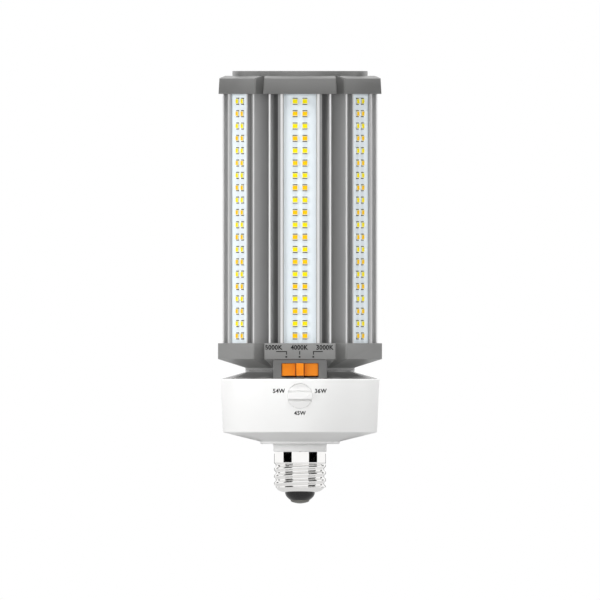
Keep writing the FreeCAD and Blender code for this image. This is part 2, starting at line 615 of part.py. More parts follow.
def core_lobe():
    """One lobe's share of the hollow core: a flat behind the board and round webs between."""
    radius = SINK_HALF_WIDTH / math.sin(math.radians(LOBE_TURN / 2)) - SINK_WALL
    flat_out = BOARD_BACK_OUT - SINK_WALL
    side_out = math.sqrt(radius ** 2 - CORE_FLAT_HALF_WIDTH ** 2)
    half_turn = math.radians(LOBE_TURN / 2)
    bisector = (radius * math.sin(half_turn), radius * math.cos(half_turn))
    web_turn = (math.atan2(CORE_FLAT_HALF_WIDTH, side_out) + half_turn) / 2
    before = (radius * math.sin(web_turn), radius * math.cos(web_turn))
    return [
        [(-bisector[0], bisector[1]), (-before[0], before[1]), (-CORE_FLAT_HALF_WIDTH, side_out)],
        [(-CORE_FLAT_HALF_WIDTH, side_out), (-CORE_FLAT_HALF_WIDTH, flat_out)],
        [(-CORE_FLAT_HALF_WIDTH, flat_out), (CORE_FLAT_HALF_WIDTH, flat_out)],
        [(CORE_FLAT_HALF_WIDTH, flat_out), (CORE_FLAT_HALF_WIDTH, side_out)],
        [(CORE_FLAT_HALF_WIDTH, side_out), before, bisector],
    ], radius


def heat_sink():
    """One extrusion: six lobes with fins, channels and board slots round a hollow core."""
    core, core_radius = core_lobe()
    length = SINK_TOP_Z - SINK_Z
    outside = lobed_face(sink_lobe(), SINK_Z).extrude(vec(0, 0, length))
    inside = lobed_face(core, SINK_Z).extrude(vec(0, 0, length))
    sink = outside.cut(inside)
    for direction in SCREW_DIRECTIONS:
        foot = polar(BOSS_OFFSET, direction, SINK_Z)
        web = box(-BOSS_WEB / 2, BOSS_WEB / 2, -core_radius - SINK_WALL / 2, -BOSS_OFFSET, SINK_Z, SINK_TOP_Z)
        web.rotate(vec(0, 0), vec(0, 0, 1), direction)
        sink = sink.fuse([prism(SHANK_SIDES, BOSS_RADIUS, length, foot), web])
        sink = sink.cut(prism(SHANK_SIDES, TAP_RADIUS, length, foot))
    return sink.removeSplitter()


def led_board(lobe):
    half = BOARD_WIDTH / 2
    board = box(-half, half, -BOARD_OUT, -BOARD_BACK_OUT, SINK_Z + BOARD_END_GAP, SINK_TOP_Z - BOARD_END_GAP)
    board.rotate(vec(0, 0), vec(0, 0, 1), lobe * LOBE_TURN)
    return board


def led_group(lobe, first_row):
    """Every second row of LED packages on one board, two packages in a row."""
    packages = []
    for row in range(first_row, LED_ROWS, 2):
        z = COLLAR_TOP_Z + LED_FIRST_ROW + row * LED_PITCH
        for side in (-1, 1):
            x = side * LED_COLUMN
            package = box(x - LED_WIDTH / 2, x + LED_WIDTH / 2, -BOARD_OUT - LED_HEIGHT, -BOARD_OUT,
                          z - LED_LENGTH / 2, z + LED_LENGTH / 2)
            package.rotate(vec(0, 0), vec(0, 0, 1), lobe * LOBE_TURN)
            packages.append(package)
    return packages


def crown_cap():
    """Lobed top piece: drafted skirt, sloped lobe tops and a round disc over the core."""
    draft = (DISC_Z - CROWN_Z) / CROWN_SKIRT_RISE
    crown = flat_sided_solid([lobe_corners(CROWN_HALF_WIDTH, CROWN_OUT, CROWN_Z),
                              lobe_corners(CROWN_HALF_WIDTH - CROWN_SIDE_DRAFT * draft,
                                           CROWN_OUT - CROWN_FACE_DRAFT * draft, DISC_Z)])
    edge_out = CROWN_OUT - CROWN_FACE_DRAFT
    run = CROWN_SLOPE_RISE / CROWN_SLOPE
    for lobe in range(LOBES):
        corners = [
            vec(-CROWN_OUT, -edge_out - run, SLOPE_Z - CROWN_SLOPE_RISE),
            vec(-CROWN_OUT, -edge_out - run, DISC_Z + CROWN_SLOPE_RISE),
            vec(-CROWN_OUT, 2 * run - edge_out, DISC_Z + CROWN_SLOPE_RISE),
        ]
        wedge = polygon_face(corners).extrude(vec(2 * CROWN_OUT, 0, 0))
        wedge.rotate(vec(0, 0), vec(0, 0, 1), lobe * LOBE_TURN)
        crown = crown.cut(wedge)
    crown = crown.fuse(cylinder(DISC_RADIUS, DISC_RISE, vec(0, 0, DISC_Z)))
    crown = crown.cut(lobed_prism(POCKET_HALF_WIDTH, POCKET_OUT, CROWN_Z, SINK_TOP_Z))
    recess = prism(LOBES, RECESS_RADIUS, DISC_Z - SINK_TOP_Z, vec(0, 0, SINK_TOP_Z))
    recess.rotate(vec(0, 0), vec(0, 0, 1), LOBE_TURN / 2)
    crown = crown.cut(recess)
    boss_z = SINK_TOP_Z + LINK_BOARD_THICKNESS
    for direction in SCREW_DIRECTIONS:
        foot = polar(BOSS_OFFSET, direction, boss_z)
        seat = polar(BOSS_OFFSET, direction, CROWN_SEAT_Z)
        crown = crown.fuse(prism(HEAD_SIDES, CROWN_BOSS_RADIUS, DISC_Z - boss_z, foot))
        crown = crown.cut(prism(SHANK_SIDES, SCREW_PASS_RADIUS, CROWN_TOP_Z - boss_z, foot))
        crown = crown.cut(prism(HEAD_SIDES, SCREW_HEAD_RADIUS + 2 * FIT, CROWN_TOP_Z - CROWN_SEAT_Z, seat))
    return crown.removeSplitter()


def crown_screws():
    length = CROWN_SEAT_Z - SINK_TOP_Z + SCREW_BITE
    return [screw(polar(BOSS_OFFSET, direction, CROWN_SEAT_Z), False, length)
            for direction in SCREW_DIRECTIONS]


def collar_screws():
    length = SINK_Z - RING_Z + SCREW_BITE
    return [screw(polar(BOSS_OFFSET, direction, RING_Z), True, length) for direction in SCREW_DIRECTIONS]


def board_screws():
    length = DRIVER_BOARD_THICKNESS + STANDOFF_RISE - 2 * FIT
    return [screw(polar(STANDOFF_OFFSET, direction, DRIVER_TOP_Z), False, length)
            for direction in STANDOFF_DIRECTIONS]


def link_board():
    board = prism(LOBES, RECESS_RADIUS - 4 * FIT, LINK_BOARD_THICKNESS, vec(0, 0, SINK_TOP_Z))
    board.rotate(vec(0, 0), vec(0, 0, 1), LOBE_TURN / 2)
    for direction in SCREW_DIRECTIONS:
        board = board.cut(prism(SHANK_SIDES, SCREW_PASS_RADIUS, LINK_BOARD_THICKNESS,
                                polar(BOSS_OFFSET, direction, SINK_TOP_Z)))
    return board


def led_leads():
    leads = []
    for x in (-LEAD_SPACING / 2, LEAD_SPACING / 2):
        for y in (-LEAD_SPACING / 2, LEAD_SPACING / 2):
            leads.append(prism(SHANK_SIDES, WIRE_RADIUS, SINK_TOP_Z - DRIVER_TOP_Z, vec(x, y, DRIVER_TOP_Z)))
    return leads


def driver_board():
    board = prism(BOARD_SIDES, DRIVER_BOARD_RADIUS, DRIVER_BOARD_THICKNESS, vec(0, 0, DRIVER_Z))
    for direction in STANDOFF_DIRECTIONS:
        board = board.cut(prism(SHANK_SIDES, SCREW_PASS_RADIUS, DRIVER_BOARD_THICKNESS,
                                polar(STANDOFF_OFFSET, direction, DRIVER_Z)))
    return board


def on_board(width, depth, rise, x, y, lift=0.0):
    """A block standing on the driver board, given by its size and its middle."""
    z = DRIVER_TOP_Z + lift
    return box(x - width / 2, x + width / 2, y - depth / 2, y + depth / 2, z, z + rise)


def transformer():
    place = (TRANSFORMER_OFFSET_X, TRANSFORMER_OFFSET_Y)
    core = on_board(CORE_WIDTH, CORE_DEPTH, CORE_HEIGHT, *place)
    bobbin = on_board(BOBBIN_WIDTH, BOBBIN_DEPTH, BOBBIN_HEIGHT, *place)
    winding = on_board(WINDING_WIDTH, WINDING_DEPTH, WINDING_HEIGHT, *place, WINDING_LIFT)
    return core.fuse([bobbin, winding]).removeSplitter()


def filter_choke():
    place = vec(0, CHOKE_OFFSET, DRIVER_TOP_Z)
    ring = prism(BOARD_SIDES, CHOKE_RADIUS, CHOKE_HEIGHT, place)
    return ring.cut(prism(HEAD_SIDES, CHOKE_BORE_RADIUS, CHOKE_HEIGHT, place))


def bulk_capacitors():
    return [prism(BOARD_SIDES, CAPACITOR_RADIUS, CAPACITOR_HEIGHT,
                  vec(CAPACITOR_OFFSET_X, CAPACITOR_OFFSET_Y + side * CAPACITOR_SPACING / 2, DRIVER_TOP_Z))
            for side in (1, -1)]


def bridge_rectifier():
    return on_board(RECTIFIER_WIDTH, RECTIFIER_DEPTH, RECTIFIER_HEIGHT,
                    RECTIFIER_OFFSET_X, RECTIFIER_OFFSET_Y)


def power_transistor():
    x, y = TRANSISTOR_OFFSET_X, TRANSISTOR_OFFSET_Y
    package = on_board(TRANSISTOR_WIDTH, TRANSISTOR_DEPTH, TRANSISTOR_HEIGHT, x, y, TRANSISTOR_LIFT)
    legs = [on_board(LEG_WIDTH, LEG_DEPTH, TRANSISTOR_LIFT, x + step * LEG_SPACING, y) for step in (-1, 0, 1)]
    tab_y = y - (TRANSISTOR_DEPTH - TAB_DEPTH) / 2
    tab = on_board(TRANSISTOR_WIDTH, TAB_DEPTH, TAB_HEIGHT, x, tab_y, TRANSISTOR_LIFT + TRANSISTOR_HEIGHT)
    return package.fuse(legs + [tab]).removeSplitter()


def fuse_resistor():
    x, y = RESISTOR_OFFSET_X, RESISTOR_OFFSET_Y
    body = prism(HEAD_SIDES, RESISTOR_RADIUS, RESISTOR_LENGTH, vec(0, 0, -RESISTOR_LENGTH / 2))
    body.rotate(vec(0, 0), vec(0, 1, 0), 90)
    body.translate(vec(x, y, DRIVER_TOP_Z + RESISTOR_LIFT))
    legs = [on_board(RESISTOR_LEG_WIDTH, RESISTOR_LEG_WIDTH, RESISTOR_LIFT,
                     x + side * RESISTOR_LEG_SPACING / 2, y) for side in (-1, 1)]
    return body.fuse(legs).removeSplitter()


def film_capacitor():
    return on_board(FILM_WIDTH, FILM_DEPTH, FILM_HEIGHT, 0, FILM_OFFSET)


def line_wire():
    start = SEAT_Z + RIVET_HEIGHT
    return prism(SHANK_SIDES, WIRE_RADIUS, DRIVER_Z - start, vec(0, 0, start))


def neutral_wire():
    """Runs down inside the plug and turns out to the shell just under it."""
    place = PLUG_BORE - 2 * WIRE_RADIUS
    foot_z = -CAP_BAND - 2 * WIRE_RADIUS
    wire = prism(SHANK_SIDES, WIRE_RADIUS, DRIVER_Z - foot_z, vec(0, place, foot_z))
    tail = box(-WIRE_RADIUS / 2, WIRE_RADIUS / 2, place, THREAD_BORE - 2 * FIT, foot_z, foot_z + WIRE_RADIUS)
    return wire.fuse(tail).removeSplitter()


def watt_knob():
    """Disc with a tapered bar grip, a pointer pip and a flange behind the wall."""
    forward = vec(0, -1, 0)
    disc = cylinder(KNOB_RADIUS, KNOB_FACE_OUT - FLANGE_OUT, vec(0, -FLANGE_OUT, KNOB_Z), forward)
    flange = cylinder(KNOB_FLANGE_RADIUS, KNOB_FLANGE_RISE, vec(0, -FLANGE_BACK_OUT, KNOB_Z), forward)
    top_out = KNOB_FACE_OUT + KNOB_BAR_RISE
    corners = [
        vec(-KNOB_RADIUS, -KNOB_FACE_OUT, KNOB_Z - KNOB_BAR_FOOT),
        vec(-KNOB_RADIUS, -top_out, KNOB_Z - KNOB_BAR_TOP),
        vec(-KNOB_RADIUS, -top_out, KNOB_Z + KNOB_BAR_TOP),
        vec(-KNOB_RADIUS, -KNOB_FACE_OUT, KNOB_Z + KNOB_BAR_FOOT),
    ]
    bar = polygon_face(corners).extrude(vec(2 * KNOB_RADIUS, 0, 0))
    bar = bar.common(cylinder(KNOB_RADIUS, KNOB_BAR_RISE, vec(0, -KNOB_FACE_OUT, KNOB_Z), forward))
    half = KNOB_PIP / 2
    pip = box(KNOB_PIP_OFFSET - half, KNOB_PIP_OFFSET + half, -top_out - 2 * FIT, -top_out,
              KNOB_Z - half, KNOB_Z + half)
    return disc.fuse([flange, bar, pip]).removeSplitter()


def selector_shaft():
    end_out = ROTARY_BACK_OUT + ROTARY_BACK_WALL + SHAFT_END_GAP
    return cylinder(SHAFT_RADIUS, FLANGE_BACK_OUT - end_out, vec(0, -FLANGE_BACK_OUT, KNOB_Z), vec(0, 1, 0))


def rotary_switch():
    half = ROTARY_SIZE / 2
    body = box(-half, half, -ROTARY_FRONT_OUT, -ROTARY_BACK_OUT, KNOB_Z - half, KNOB_Z + half)
    bore = cylinder(SHAFT_RADIUS + SHAFT_FIT, ROTARY_DEPTH - ROTARY_BACK_WALL,
                    vec(0, -ROTARY_FRONT_OUT, KNOB_Z), vec(0, 1, 0))
    return body.cut(bore)


def selector_board():
    half = ROTARY_SIZE / 2 + SELECTOR_BOARD_MARGIN
    return box(-half, half, -ROTARY_BACK_OUT, DRIVER_BOARD_THICKNESS - ROTARY_BACK_OUT,
               DRIVER_TOP_Z, KNOB_Z + ROTARY_SIZE / 2)


def switch_track():
    """Orange plate that fills the window, with a flange behind the frame."""
    half = WINDOW_WIDTH / 2 - FIT
    boss = box(-half, half, -TRACK_OUT, -CAVITY_OUT, TRACK_Z, TRACK_TOP_Z)
    upright = [e for e in boss.Edges if abs(e.tangentAt(e.FirstParameter).y) > 0.9]
    boss = boss.makeChamfer(CORNER, upright)
    side = CAVITY_HALF - FIT
    flange = box(-side, side, -CAVITY_OUT, TRACK_FLANGE - CAVITY_OUT, TRACK_Z, TRACK_TOP_Z + TRACK_FLANGE)
    return boss.fuse(flange).removeSplitter()


def colour_slider():
    """Grip that runs on the track, with a forked tongue under the track to the switch."""
    half = SLIDER_WIDTH / 2
    back_out = TRACK_OUT + FIT
    front_out = TRACK_OUT + TRACK_INSET + SLIDER_PROUD
    grip = box(-half, half, -front_out, -back_out, TRACK_Z + FIT / 2, TRACK_TOP_Z - FIT / 2)
    fronts = [e for e in grip.Edges
              if abs(e.tangentAt(e.FirstParameter).z) > 0.9 and e.CenterOfMass.y < 0.01 - front_out]
    grip = grip.makeChamfer(CORNER, fronts)
    root_out = back_out + SLIDER_PROUD / 2
    tongue = box(-TONGUE_WIDTH / 2, TONGUE_WIDTH / 2, -root_out, LEVER_DEPTH + FORK_BACK - LEVER_OUT,
                 TONGUE_Z, TONGUE_Z + TONGUE_THICKNESS)
    root = box(-TONGUE_WIDTH / 2, TONGUE_WIDTH / 2, -root_out, -back_out,
               TONGUE_Z, TRACK_Z + ROOT_RISE)
    fork_half = LEVER_WIDTH / 2 + FIT / 2
    fork = box(-fork_half, fork_half, -LEVER_OUT - FIT / 2, LEVER_DEPTH + FORK_BACK - LEVER_OUT,
               TONGUE_Z, TONGUE_Z + TONGUE_THICKNESS)
    return grip.fuse([tongue, root]).cut(fork).removeSplitter()


def switch_lever():
    half = LEVER_WIDTH / 2
    return box(-half, half, -LEVER_OUT, LEVER_DEPTH - LEVER_OUT, TONGUE_Z, CAN_Z - FIT / 2)


def slide_switch():
    half = SWITCH_CAN_LENGTH / 2
    return box(-half, half, -CAN_OUT, -SWITCH_BOARD_OUT, CAN_Z, CAN_Z + SWITCH_CAN_RISE)


def switch_board():
    side = CAVITY_HALF - FIT
    return box(-side, side, -SWITCH_BOARD_OUT, SWITCH_BOARD_THICKNESS - SWITCH_BOARD_OUT,
               TRACK_Z, CAVITY_TOP_Z - FIT)


def switch_leads():
    middle = SWITCH_BOARD_OUT - SWITCH_BOARD_THICKNESS / 2
    return [prism(SHANK_SIDES, WIRE_RADIUS / 2, TRACK_Z - DRIVER_TOP_Z,
                  vec(SWITCH_LEAD_OFFSET + step * SWITCH_LEAD_SPACING, -middle, DRIVER_TOP_Z))
            for step in (-1, 0, 1)]


NODES = {
    "screw_shell": screw_shell(),
    "base_insulator": base_insulator(),
    "center_contact": center_contact(),
    "driver_housing": driver_housing(),
    "housing_lid": housing_lid(),
    "lower_collar": lower_collar(),
    "heat_sink": heat_sink(),
    "crown_cap": crown_cap(),
    "crown_screws": crown_screws(),
    "collar_screws": collar_screws(),
    "lid_screws": lid_screws(),
    "board_screws": board_screws(),
    "link_board": link_board(),
    "led_leads": led_leads(),
    "driver_board": driver_board(),
    "transformer": transformer(),
    "filter_choke": filter_choke(),
    "bulk_capacitors": bulk_capacitors(),
    "bridge_rectifier": bridge_rectifier(),
    "power_transistor": power_transistor(),
    "fuse_resistor": fuse_resistor(),
    "film_capacitor": film_capacitor(),
    "line_wire": line_wire(),
    "neutral_wire": neutral_wire(),
    "watt_knob": watt_knob(),
    "selector_shaft": selector_shaft(),
    "rotary_switch": rotary_switch(),
    "selector_board": selector_board(),
    "switch_track": switch_track(),
    "colour_slider": colour_slider(),
    "switch_lever": switch_lever(),
    "slide_switch": slide_switch(),
    "switch_board": switch_board(),
    "switch_leads": switch_leads(),
}
for number in range(LOBES):
    NODES["led_board_%d" % (number + 1)] = led_board(number)
    NODES["warm_leds_%d" % (number + 1)] = led_group(number, 0)
    NODES["cool_leds_%d" % (number + 1)] = led_group(number, 1)

os.makedirs("parts", exist_ok=True)
for node, shape in NODES.items():
    if isinstance(shape, list):
        shape = Part.makeCompound(shape)
    shape.exportStep("parts/%s.step" % node)
print(len(NODES), "nodes")
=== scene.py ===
# %% [markdown]
# # A corn lamp, dressed for its picture
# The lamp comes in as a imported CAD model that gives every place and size. This script dresses it:
# plated thread, moulded ends, extruded aluminium, rows of tiny LEDs and a white housing with two
# selectors. Lengths are written in millimetres and turned to metres where they meet Blender. The
# knob and the slide face the front, which is -Y, and Z runs from the cap up to the crown.

# %% The frame
import math

import bpy
from mathutils import Matrix, Vector


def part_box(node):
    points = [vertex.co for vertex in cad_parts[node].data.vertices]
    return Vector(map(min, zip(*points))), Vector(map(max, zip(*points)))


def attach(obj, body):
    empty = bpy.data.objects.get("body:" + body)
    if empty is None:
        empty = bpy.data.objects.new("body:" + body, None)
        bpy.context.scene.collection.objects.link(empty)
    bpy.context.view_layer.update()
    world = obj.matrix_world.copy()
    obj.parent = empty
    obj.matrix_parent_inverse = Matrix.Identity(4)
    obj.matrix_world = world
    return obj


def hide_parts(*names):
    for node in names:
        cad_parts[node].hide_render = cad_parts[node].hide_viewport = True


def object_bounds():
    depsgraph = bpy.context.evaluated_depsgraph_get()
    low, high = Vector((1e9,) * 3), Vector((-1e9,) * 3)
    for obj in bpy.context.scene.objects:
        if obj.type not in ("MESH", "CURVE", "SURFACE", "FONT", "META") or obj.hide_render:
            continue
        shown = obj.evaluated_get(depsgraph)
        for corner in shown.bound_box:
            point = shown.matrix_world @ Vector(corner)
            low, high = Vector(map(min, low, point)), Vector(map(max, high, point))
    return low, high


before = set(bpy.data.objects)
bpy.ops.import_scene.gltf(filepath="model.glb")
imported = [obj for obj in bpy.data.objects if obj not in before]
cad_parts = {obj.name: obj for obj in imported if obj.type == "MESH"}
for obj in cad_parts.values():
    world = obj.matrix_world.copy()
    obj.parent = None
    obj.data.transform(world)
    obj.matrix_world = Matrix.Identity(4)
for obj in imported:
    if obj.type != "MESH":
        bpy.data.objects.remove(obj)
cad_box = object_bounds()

MM = 0.001
LOBES = 6
print("nodes in the frame:", len(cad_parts))

# %% [markdown]
# ## Small tools
# Blender's operators work on what is selected, so each step starts from a clean selection. These
# few helpers keep that in one place.

# %% Selecting, measuring and finishing


def nothing():
    """Leaves edit mode and lets go of every object."""
    if bpy.context.object and bpy.context.object.mode != "OBJECT":
        bpy.ops.object.mode_set(mode="OBJECT")
    bpy.ops.object.select_all(action="DESELECT")


def alone(piece):
    """Makes one object the only selected and active one."""
    nothing()
    piece.select_set(True)
    bpy.context.view_layer.objects.active = piece
    return piece


def edit(piece, kind="VERT", select="SELECT"):
    """Opens an object in edit mode with everything, or nothing, selected."""
    alone(piece)
    bpy.ops.object.mode_set(mode="EDIT")
    bpy.ops.mesh.select_mode(type=kind)
    bpy.ops.mesh.select_all(action=select)


def done(piece):
    """Back to object mode, with the place and turn moved into the mesh."""
    alone(piece)
    bpy.ops.object.transform_apply(location=True, rotation=True, scale=True)
    return piece


def pick(piece, wanted, kind="FACE"):
    """Selects the faces or edges whose middle and normal pass a test, and stays in edit mode."""
    edit(piece, kind, "DESELECT")
    bpy.ops.object.mode_set(mode="OBJECT")
    mesh = piece.data
    if kind == "FACE":
        for face in mesh.polygons:
            face.select = wanted(face.center / MM, face.normal)
    else:
        for line in mesh.edges:
            ends = [mesh.vertices[v].co / MM for v in line.vertices]
            line.select = wanted(*ends)
    bpy.ops.object.mode_set(mode="EDIT")


def outward(piece):
    """Merges doubles and turns all faces outwards."""
    edit(piece)
    bpy.ops.mesh.remove_doubles(threshold=0.001 * MM)
    bpy.ops.mesh.normals_make_consistent(inside=False)
    return done(piece)


def soften(piece, width, segments=3, angle=30):
    """Rounds every edge sharper than the angle."""
    alone(piece)
    rounding = piece.modifiers.new("edges", "BEVEL")
    rounding.width = width * MM
    rounding.segments = segments
    rounding.limit_method = "ANGLE"
    rounding.angle_limit = math.radians(angle)
    bpy.ops.object.modifier_apply(modifier=rounding.name)
    return piece


def smooth(piece, angle=35):
    """Shades smooth across every edge flatter than the angle."""
    alone(piece)
    bpy.ops.object.shade_smooth_by_angle(angle=math.radians(angle))
    return piece


def combine(piece, tool, operation="DIFFERENCE"):
    """Cuts, adds or keeps what another closed piece covers, and removes that piece."""
    alone(piece)
    cut = piece.modifiers.new("cut", "BOOLEAN")
    cut.operation = operation
    cut.solver = "EXACT"
    cut.object = tool
    bpy.ops.object.modifier_apply(modifier=cut.name)
    bpy.data.objects.remove(tool)
    return piece


def block(name, low, high):
    """A box between two corners in millimetres."""
    nothing()
    middle = [(a + b) / 2 * MM for a, b in zip(low, high)]
    bpy.ops.mesh.primitive_cube_add(size=1, location=middle)
    piece = bpy.context.object
    piece.name = name
    piece.scale = [(b - a) * MM for a, b in zip(low, high)]
    return done(piece)


def rod(name, radius, low, high, axis="Z", z=0.0, sides=64):
    """A cylinder along Z or Y between two levels in millimetres."""
    nothing()
    middle = (low + high) / 2
    place = (0, 0, middle) if axis == "Z" else (0, middle, z)
    turn = (0, 0, 0) if axis == "Z" else (math.pi / 2, 0, 0)
    bpy.ops.mesh.primitive_cylinder_add(vertices=sides, radius=radius * MM, depth=(high - low) * MM,
                                        location=[p * MM for p in place], rotation=turn)
    piece = bpy.context.object
    piece.name = name
    return done(piece)


def turned(name, outline, sides=128, closed=True):
    """A turned piece: a ring that is extruded and resized from one (radius, z) to the next.
    Its two ends are filled, except where the outline runs round a wall back to its start."""
    nothing()
    radius, z = outline[0]
    bpy.ops.mesh.primitive_circle_add(vertices=sides, radius=radius * MM, location=(0, 0, z * MM))
    piece = bpy.context.object
    piece.name = name
    edit(piece, "EDGE")
    if closed:
        bpy.ops.mesh.edge_face_add()
        edit(piece, "EDGE")
    for (radius, z), (next_radius, next_z) in zip(outline, outline[1:]):
        bpy.ops.mesh.extrude_edges_move(TRANSFORM_OT_translate={"value": (0, 0, (next_z - z) * MM)})
        share = next_radius / radius
        bpy.ops.transform.resize(value=(share, share, 1), center_override=(0, 0, next_z * MM))
    if closed:
        bpy.ops.mesh.edge_face_add()
    return outward(piece)


def copied(piece, name, matrix):
    """A copy with its own mesh, moved in the mesh."""
    twin = piece.copy()
    twin.data = piece.data.copy()
    twin.data.transform(matrix)
    twin.name = name
    bpy.context.scene.collection.objects.link(twin)
    return twin


def joined(name, pieces):
    """Several objects made one, under a new name."""
    alone(pieces[0])
    for piece in pieces:
        piece.select_set(True)
    if len(pieces) > 1:
        bpy.ops.object.join()
    pieces[0].name = name
    return pieces[0]


def lobe_turn(lobe):
    """The turn from the front lobe to another one."""
    return Matrix.Rotation(math.radians(lobe * 360 / LOBES), 4, "Z")


def size_of(node):
    """Lowest and highest corner of a CAD node, in millimetres."""
    low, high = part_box(node)
    return low / MM, high / MM


def chosen_points(piece):
    """The selected points of a piece in edit mode, which stays in edit mode."""
    bpy.ops.object.mode_set(mode="OBJECT")
    points = [v.co.copy() for v in piece.data.vertices if v.select]
    bpy.ops.object.mode_set(mode="EDIT")
    return points


def mean_radius(points):
    """How far points lie from the Z axis on the average, in millimetres."""
    return sum(math.hypot(p.x, p.y) for p in points) / len(points) / MM


def paint_chosen(piece, number):
    """Gives the selected faces the piece's material of that number, and leaves edit mode."""
    piece.active_material_index = number
    bpy.ops.object.material_slot_assign()
    return done(piece)


# %% [markdown]
# ## Finishes
# Every finish is made from nodes. One function adds a node with its settings and links, and one
# turns the hex colours of a paint chart into the linear numbers that Blender mixes.

# %% Node tools


def linear(code):
    """An sRGB hex colour as linear numbers, with an alpha of one."""
    parts = [int(code[i:i + 2], 16) / 255 for i in (1, 3, 5)]
    return [p / 12.92 if p <= 0.04045 else ((p + 0.055) / 1.055) ** 2.4 for p in parts] + [1.0]


def add_node(tree, kind, settings=None, inputs=None):
    """Adds a node, sets its options, and fills or links its inputs."""
    made = tree.nodes.new(kind)
    for name, value in (settings or {}).items():
        setattr(made, name, value)
    for name, value in (inputs or {}).items():
        if isinstance(value, bpy.types.NodeSocket):
            tree.links.new(value, made.inputs[name])
        else:
            made.inputs[name].default_value = value
    return made


def new_finish(name, **sockets):
    """An empty material with one Principled shader, its node tree and its object coordinates."""
    material = bpy.data.materials.new(name)
    material.use_nodes = True
    tree = material.node_tree
    tree.nodes.clear()
    shader = add_node(tree, "ShaderNodeBsdfPrincipled", inputs=sockets)
    add_node(tree, "ShaderNodeOutputMaterial", inputs={"Surface": shader.outputs["BSDF"]})
    place = add_node(tree, "ShaderNodeTexCoord").outputs["Object"]
    return material, tree, shader, place


def per_metre(size_mm):
    """The texture scale at which a pattern repeats about every so many millimetres."""
    return 1 / (size_mm * MM)


# %% [markdown]
# ### Moulded plastics
# Injection-moulded parts copy the spark-eroded grain of their mould. The grain is 0.1 mm or finer
# on a lamp; it is drawn a little coarser here so that it shows. Its bump is shallow and it varies
# the roughness, which breaks up the highlight as on the real plastic.

# %% Plastics
FLOW_CLOUD = 14             # size of the faint clouds that the flow of the plastic leaves


def moulded(name, colour, shade, roughness, grain_mm, depth_mm, ior=1.5):
    """A moulded plastic between two close shades, with mould grain."""
    material, tree, shader, place = new_finish(name, **{"IOR": ior})
    cloud = add_node(tree, "ShaderNodeTexNoise", inputs={
        "Vector": place, "Scale": per_metre(FLOW_CLOUD), "Detail": 2.0}).outputs["Fac"]
    tint = add_node(tree, "ShaderNodeMix", {"data_type": "RGBA"}, {
        0: cloud, 6: linear(colour), 7: linear(shade)}).outputs[2]
    grain = add_node(tree, "ShaderNodeTexNoise", inputs={
        "Vector": place, "Scale": per_metre(grain_mm), "Detail": 3.0}).outputs["Fac"]
    gloss = add_node(tree, "ShaderNodeMapRange", inputs={
        "Value": grain, "To Min": roughness - 0.05, "To Max": roughness + 0.05}).outputs[0]
    relief = add_node(tree, "ShaderNodeBump", inputs={
        "Height": grain, "Strength": 0.4, "Distance": depth_mm * MM}).outputs["Normal"]
    tree.links.new(tint, shader.inputs["Base Color"])
    tree.links.new(gloss, shader.inputs["Roughness"])
    tree.links.new(relief, shader.inputs["Normal"])
    return material


# Polycarbonate, polished mould: clean white with a soft wide highlight.
WHITE_PC = moulded("white_polycarbonate_moulded", "#F8F8F7", "#F4F4F3", 0.32, 0.5, 0.004, 1.58)
# The knob is the same plastic from a finer mould.
KNOB_PC = moulded("white_knob_polycarbonate", "#F6F6F5", "#F2F2F1", 0.3, 0.4, 0.003, 1.58)
# The same plastic in the knob's two grooves, matt and with painted shade that makes it a little greyer.
KNOB_GROOVE_SHADED_PC = moulded("white_knob_groove_painted_shade", "#F2F2F1", "#EEEEED", 0.55, 0.4, 0.003, 1.58)
# Grey polycarbonate with a fine spark grain: a dim sheen at low angles.
GREY_PC = moulded("grey_polycarbonate_spark_grain", "#878786", "#80807F", 0.34, 0.45, 0.006, 1.58)
# A darker grey for the crown. On the switch frame, which sits back under the collar, it is painted shade.
CROWN_AND_SHADED_FRAME_PC = moulded("grey_polycarbonate_crown_and_frame_shade", "#6F6F6E", "#696968", 0.3, 0.45, 0.006, 1.58)
# The lid is the same grey from a polished mould: it mirrors the bright surroundings at a low angle.
LID_PC = moulded("grey_polycarbonate_polished", "#7E7E7D", "#787877", 0.24, 0.45, 0.003, 1.58)
# Orange acetal of the slide: slippery, waxy shine.
ORANGE_POM = moulded("orange_acetal_moulded", "#F08406", "#F28C10", 0.42, 0.5, 0.004, 1.48)
# The same plastic in the grip's two grooves, with painted shade that darkens it.
ORANGE_GROOVE_SHADED_POM = moulded("orange_acetal_groove_painted_shade", "#B45C04", "#AE5604", 0.42, 0.5, 0.004, 1.48)
# Black glass-filled nylon of switches and capacitor sleeves.
BLACK_PA = moulded("black_nylon_glass_filled", "#1B1B1B", "#242424", 0.45, 0.5, 0.01, 1.53)
# White reflector plastic of the LED package.
LED_BODY = moulded("white_pct_led_body", "#F3F3EE", "#ECECE6", 0.4, 0.4, 0.002, 1.6)
# Silicone mixed with phosphor powder: saturated, matt, slightly grainy.
COOL_PHOSPHOR = moulded("phosphor_silicone_cool", "#FFF200", "#FAE600", 0.6, 0.35, 0.01, 1.41)
WARM_PHOSPHOR = moulded("phosphor_silicone_warm", "#FFD400", "#FCC600", 0.6, 0.35, 0.01, 1.41)
# Pad-printed ink: flat and almost black.
INK = moulded("pad_print_ink_black", "#0C0C0C", "#121212", 0.7, 0.3, 0.002)
# Epoxy-dipped film capacitor and the resistor's coat.
EPOXY = moulded("epoxy_dipped_coating", "#B98A2C", "#AC7E24", 0.35, 0.8, 0.02)
# PVC insulation of the inner wires.
PVC = moulded("pvc_wire_insulation_red", "#A82018", "#98190F", 0.4, 0.6, 0.01, 1.54)
# Pressed and sintered ferrite: dark, dry, finely pitted.
FERRITE = moulded("sintered_ferrite", "#2B2B2D", "#343436", 0.7, 0.3, 0.02, 2.0)
print("plastics and pastes:", len(bpy.data.materials))

# %% [markdown]
# ### Solder mask
# The LED boards are aluminium plates under a white solder mask. The mask is a thin glossy paint
# with a cool tint. Buried copper tracks show as shallow steps, which a wave texture draws.

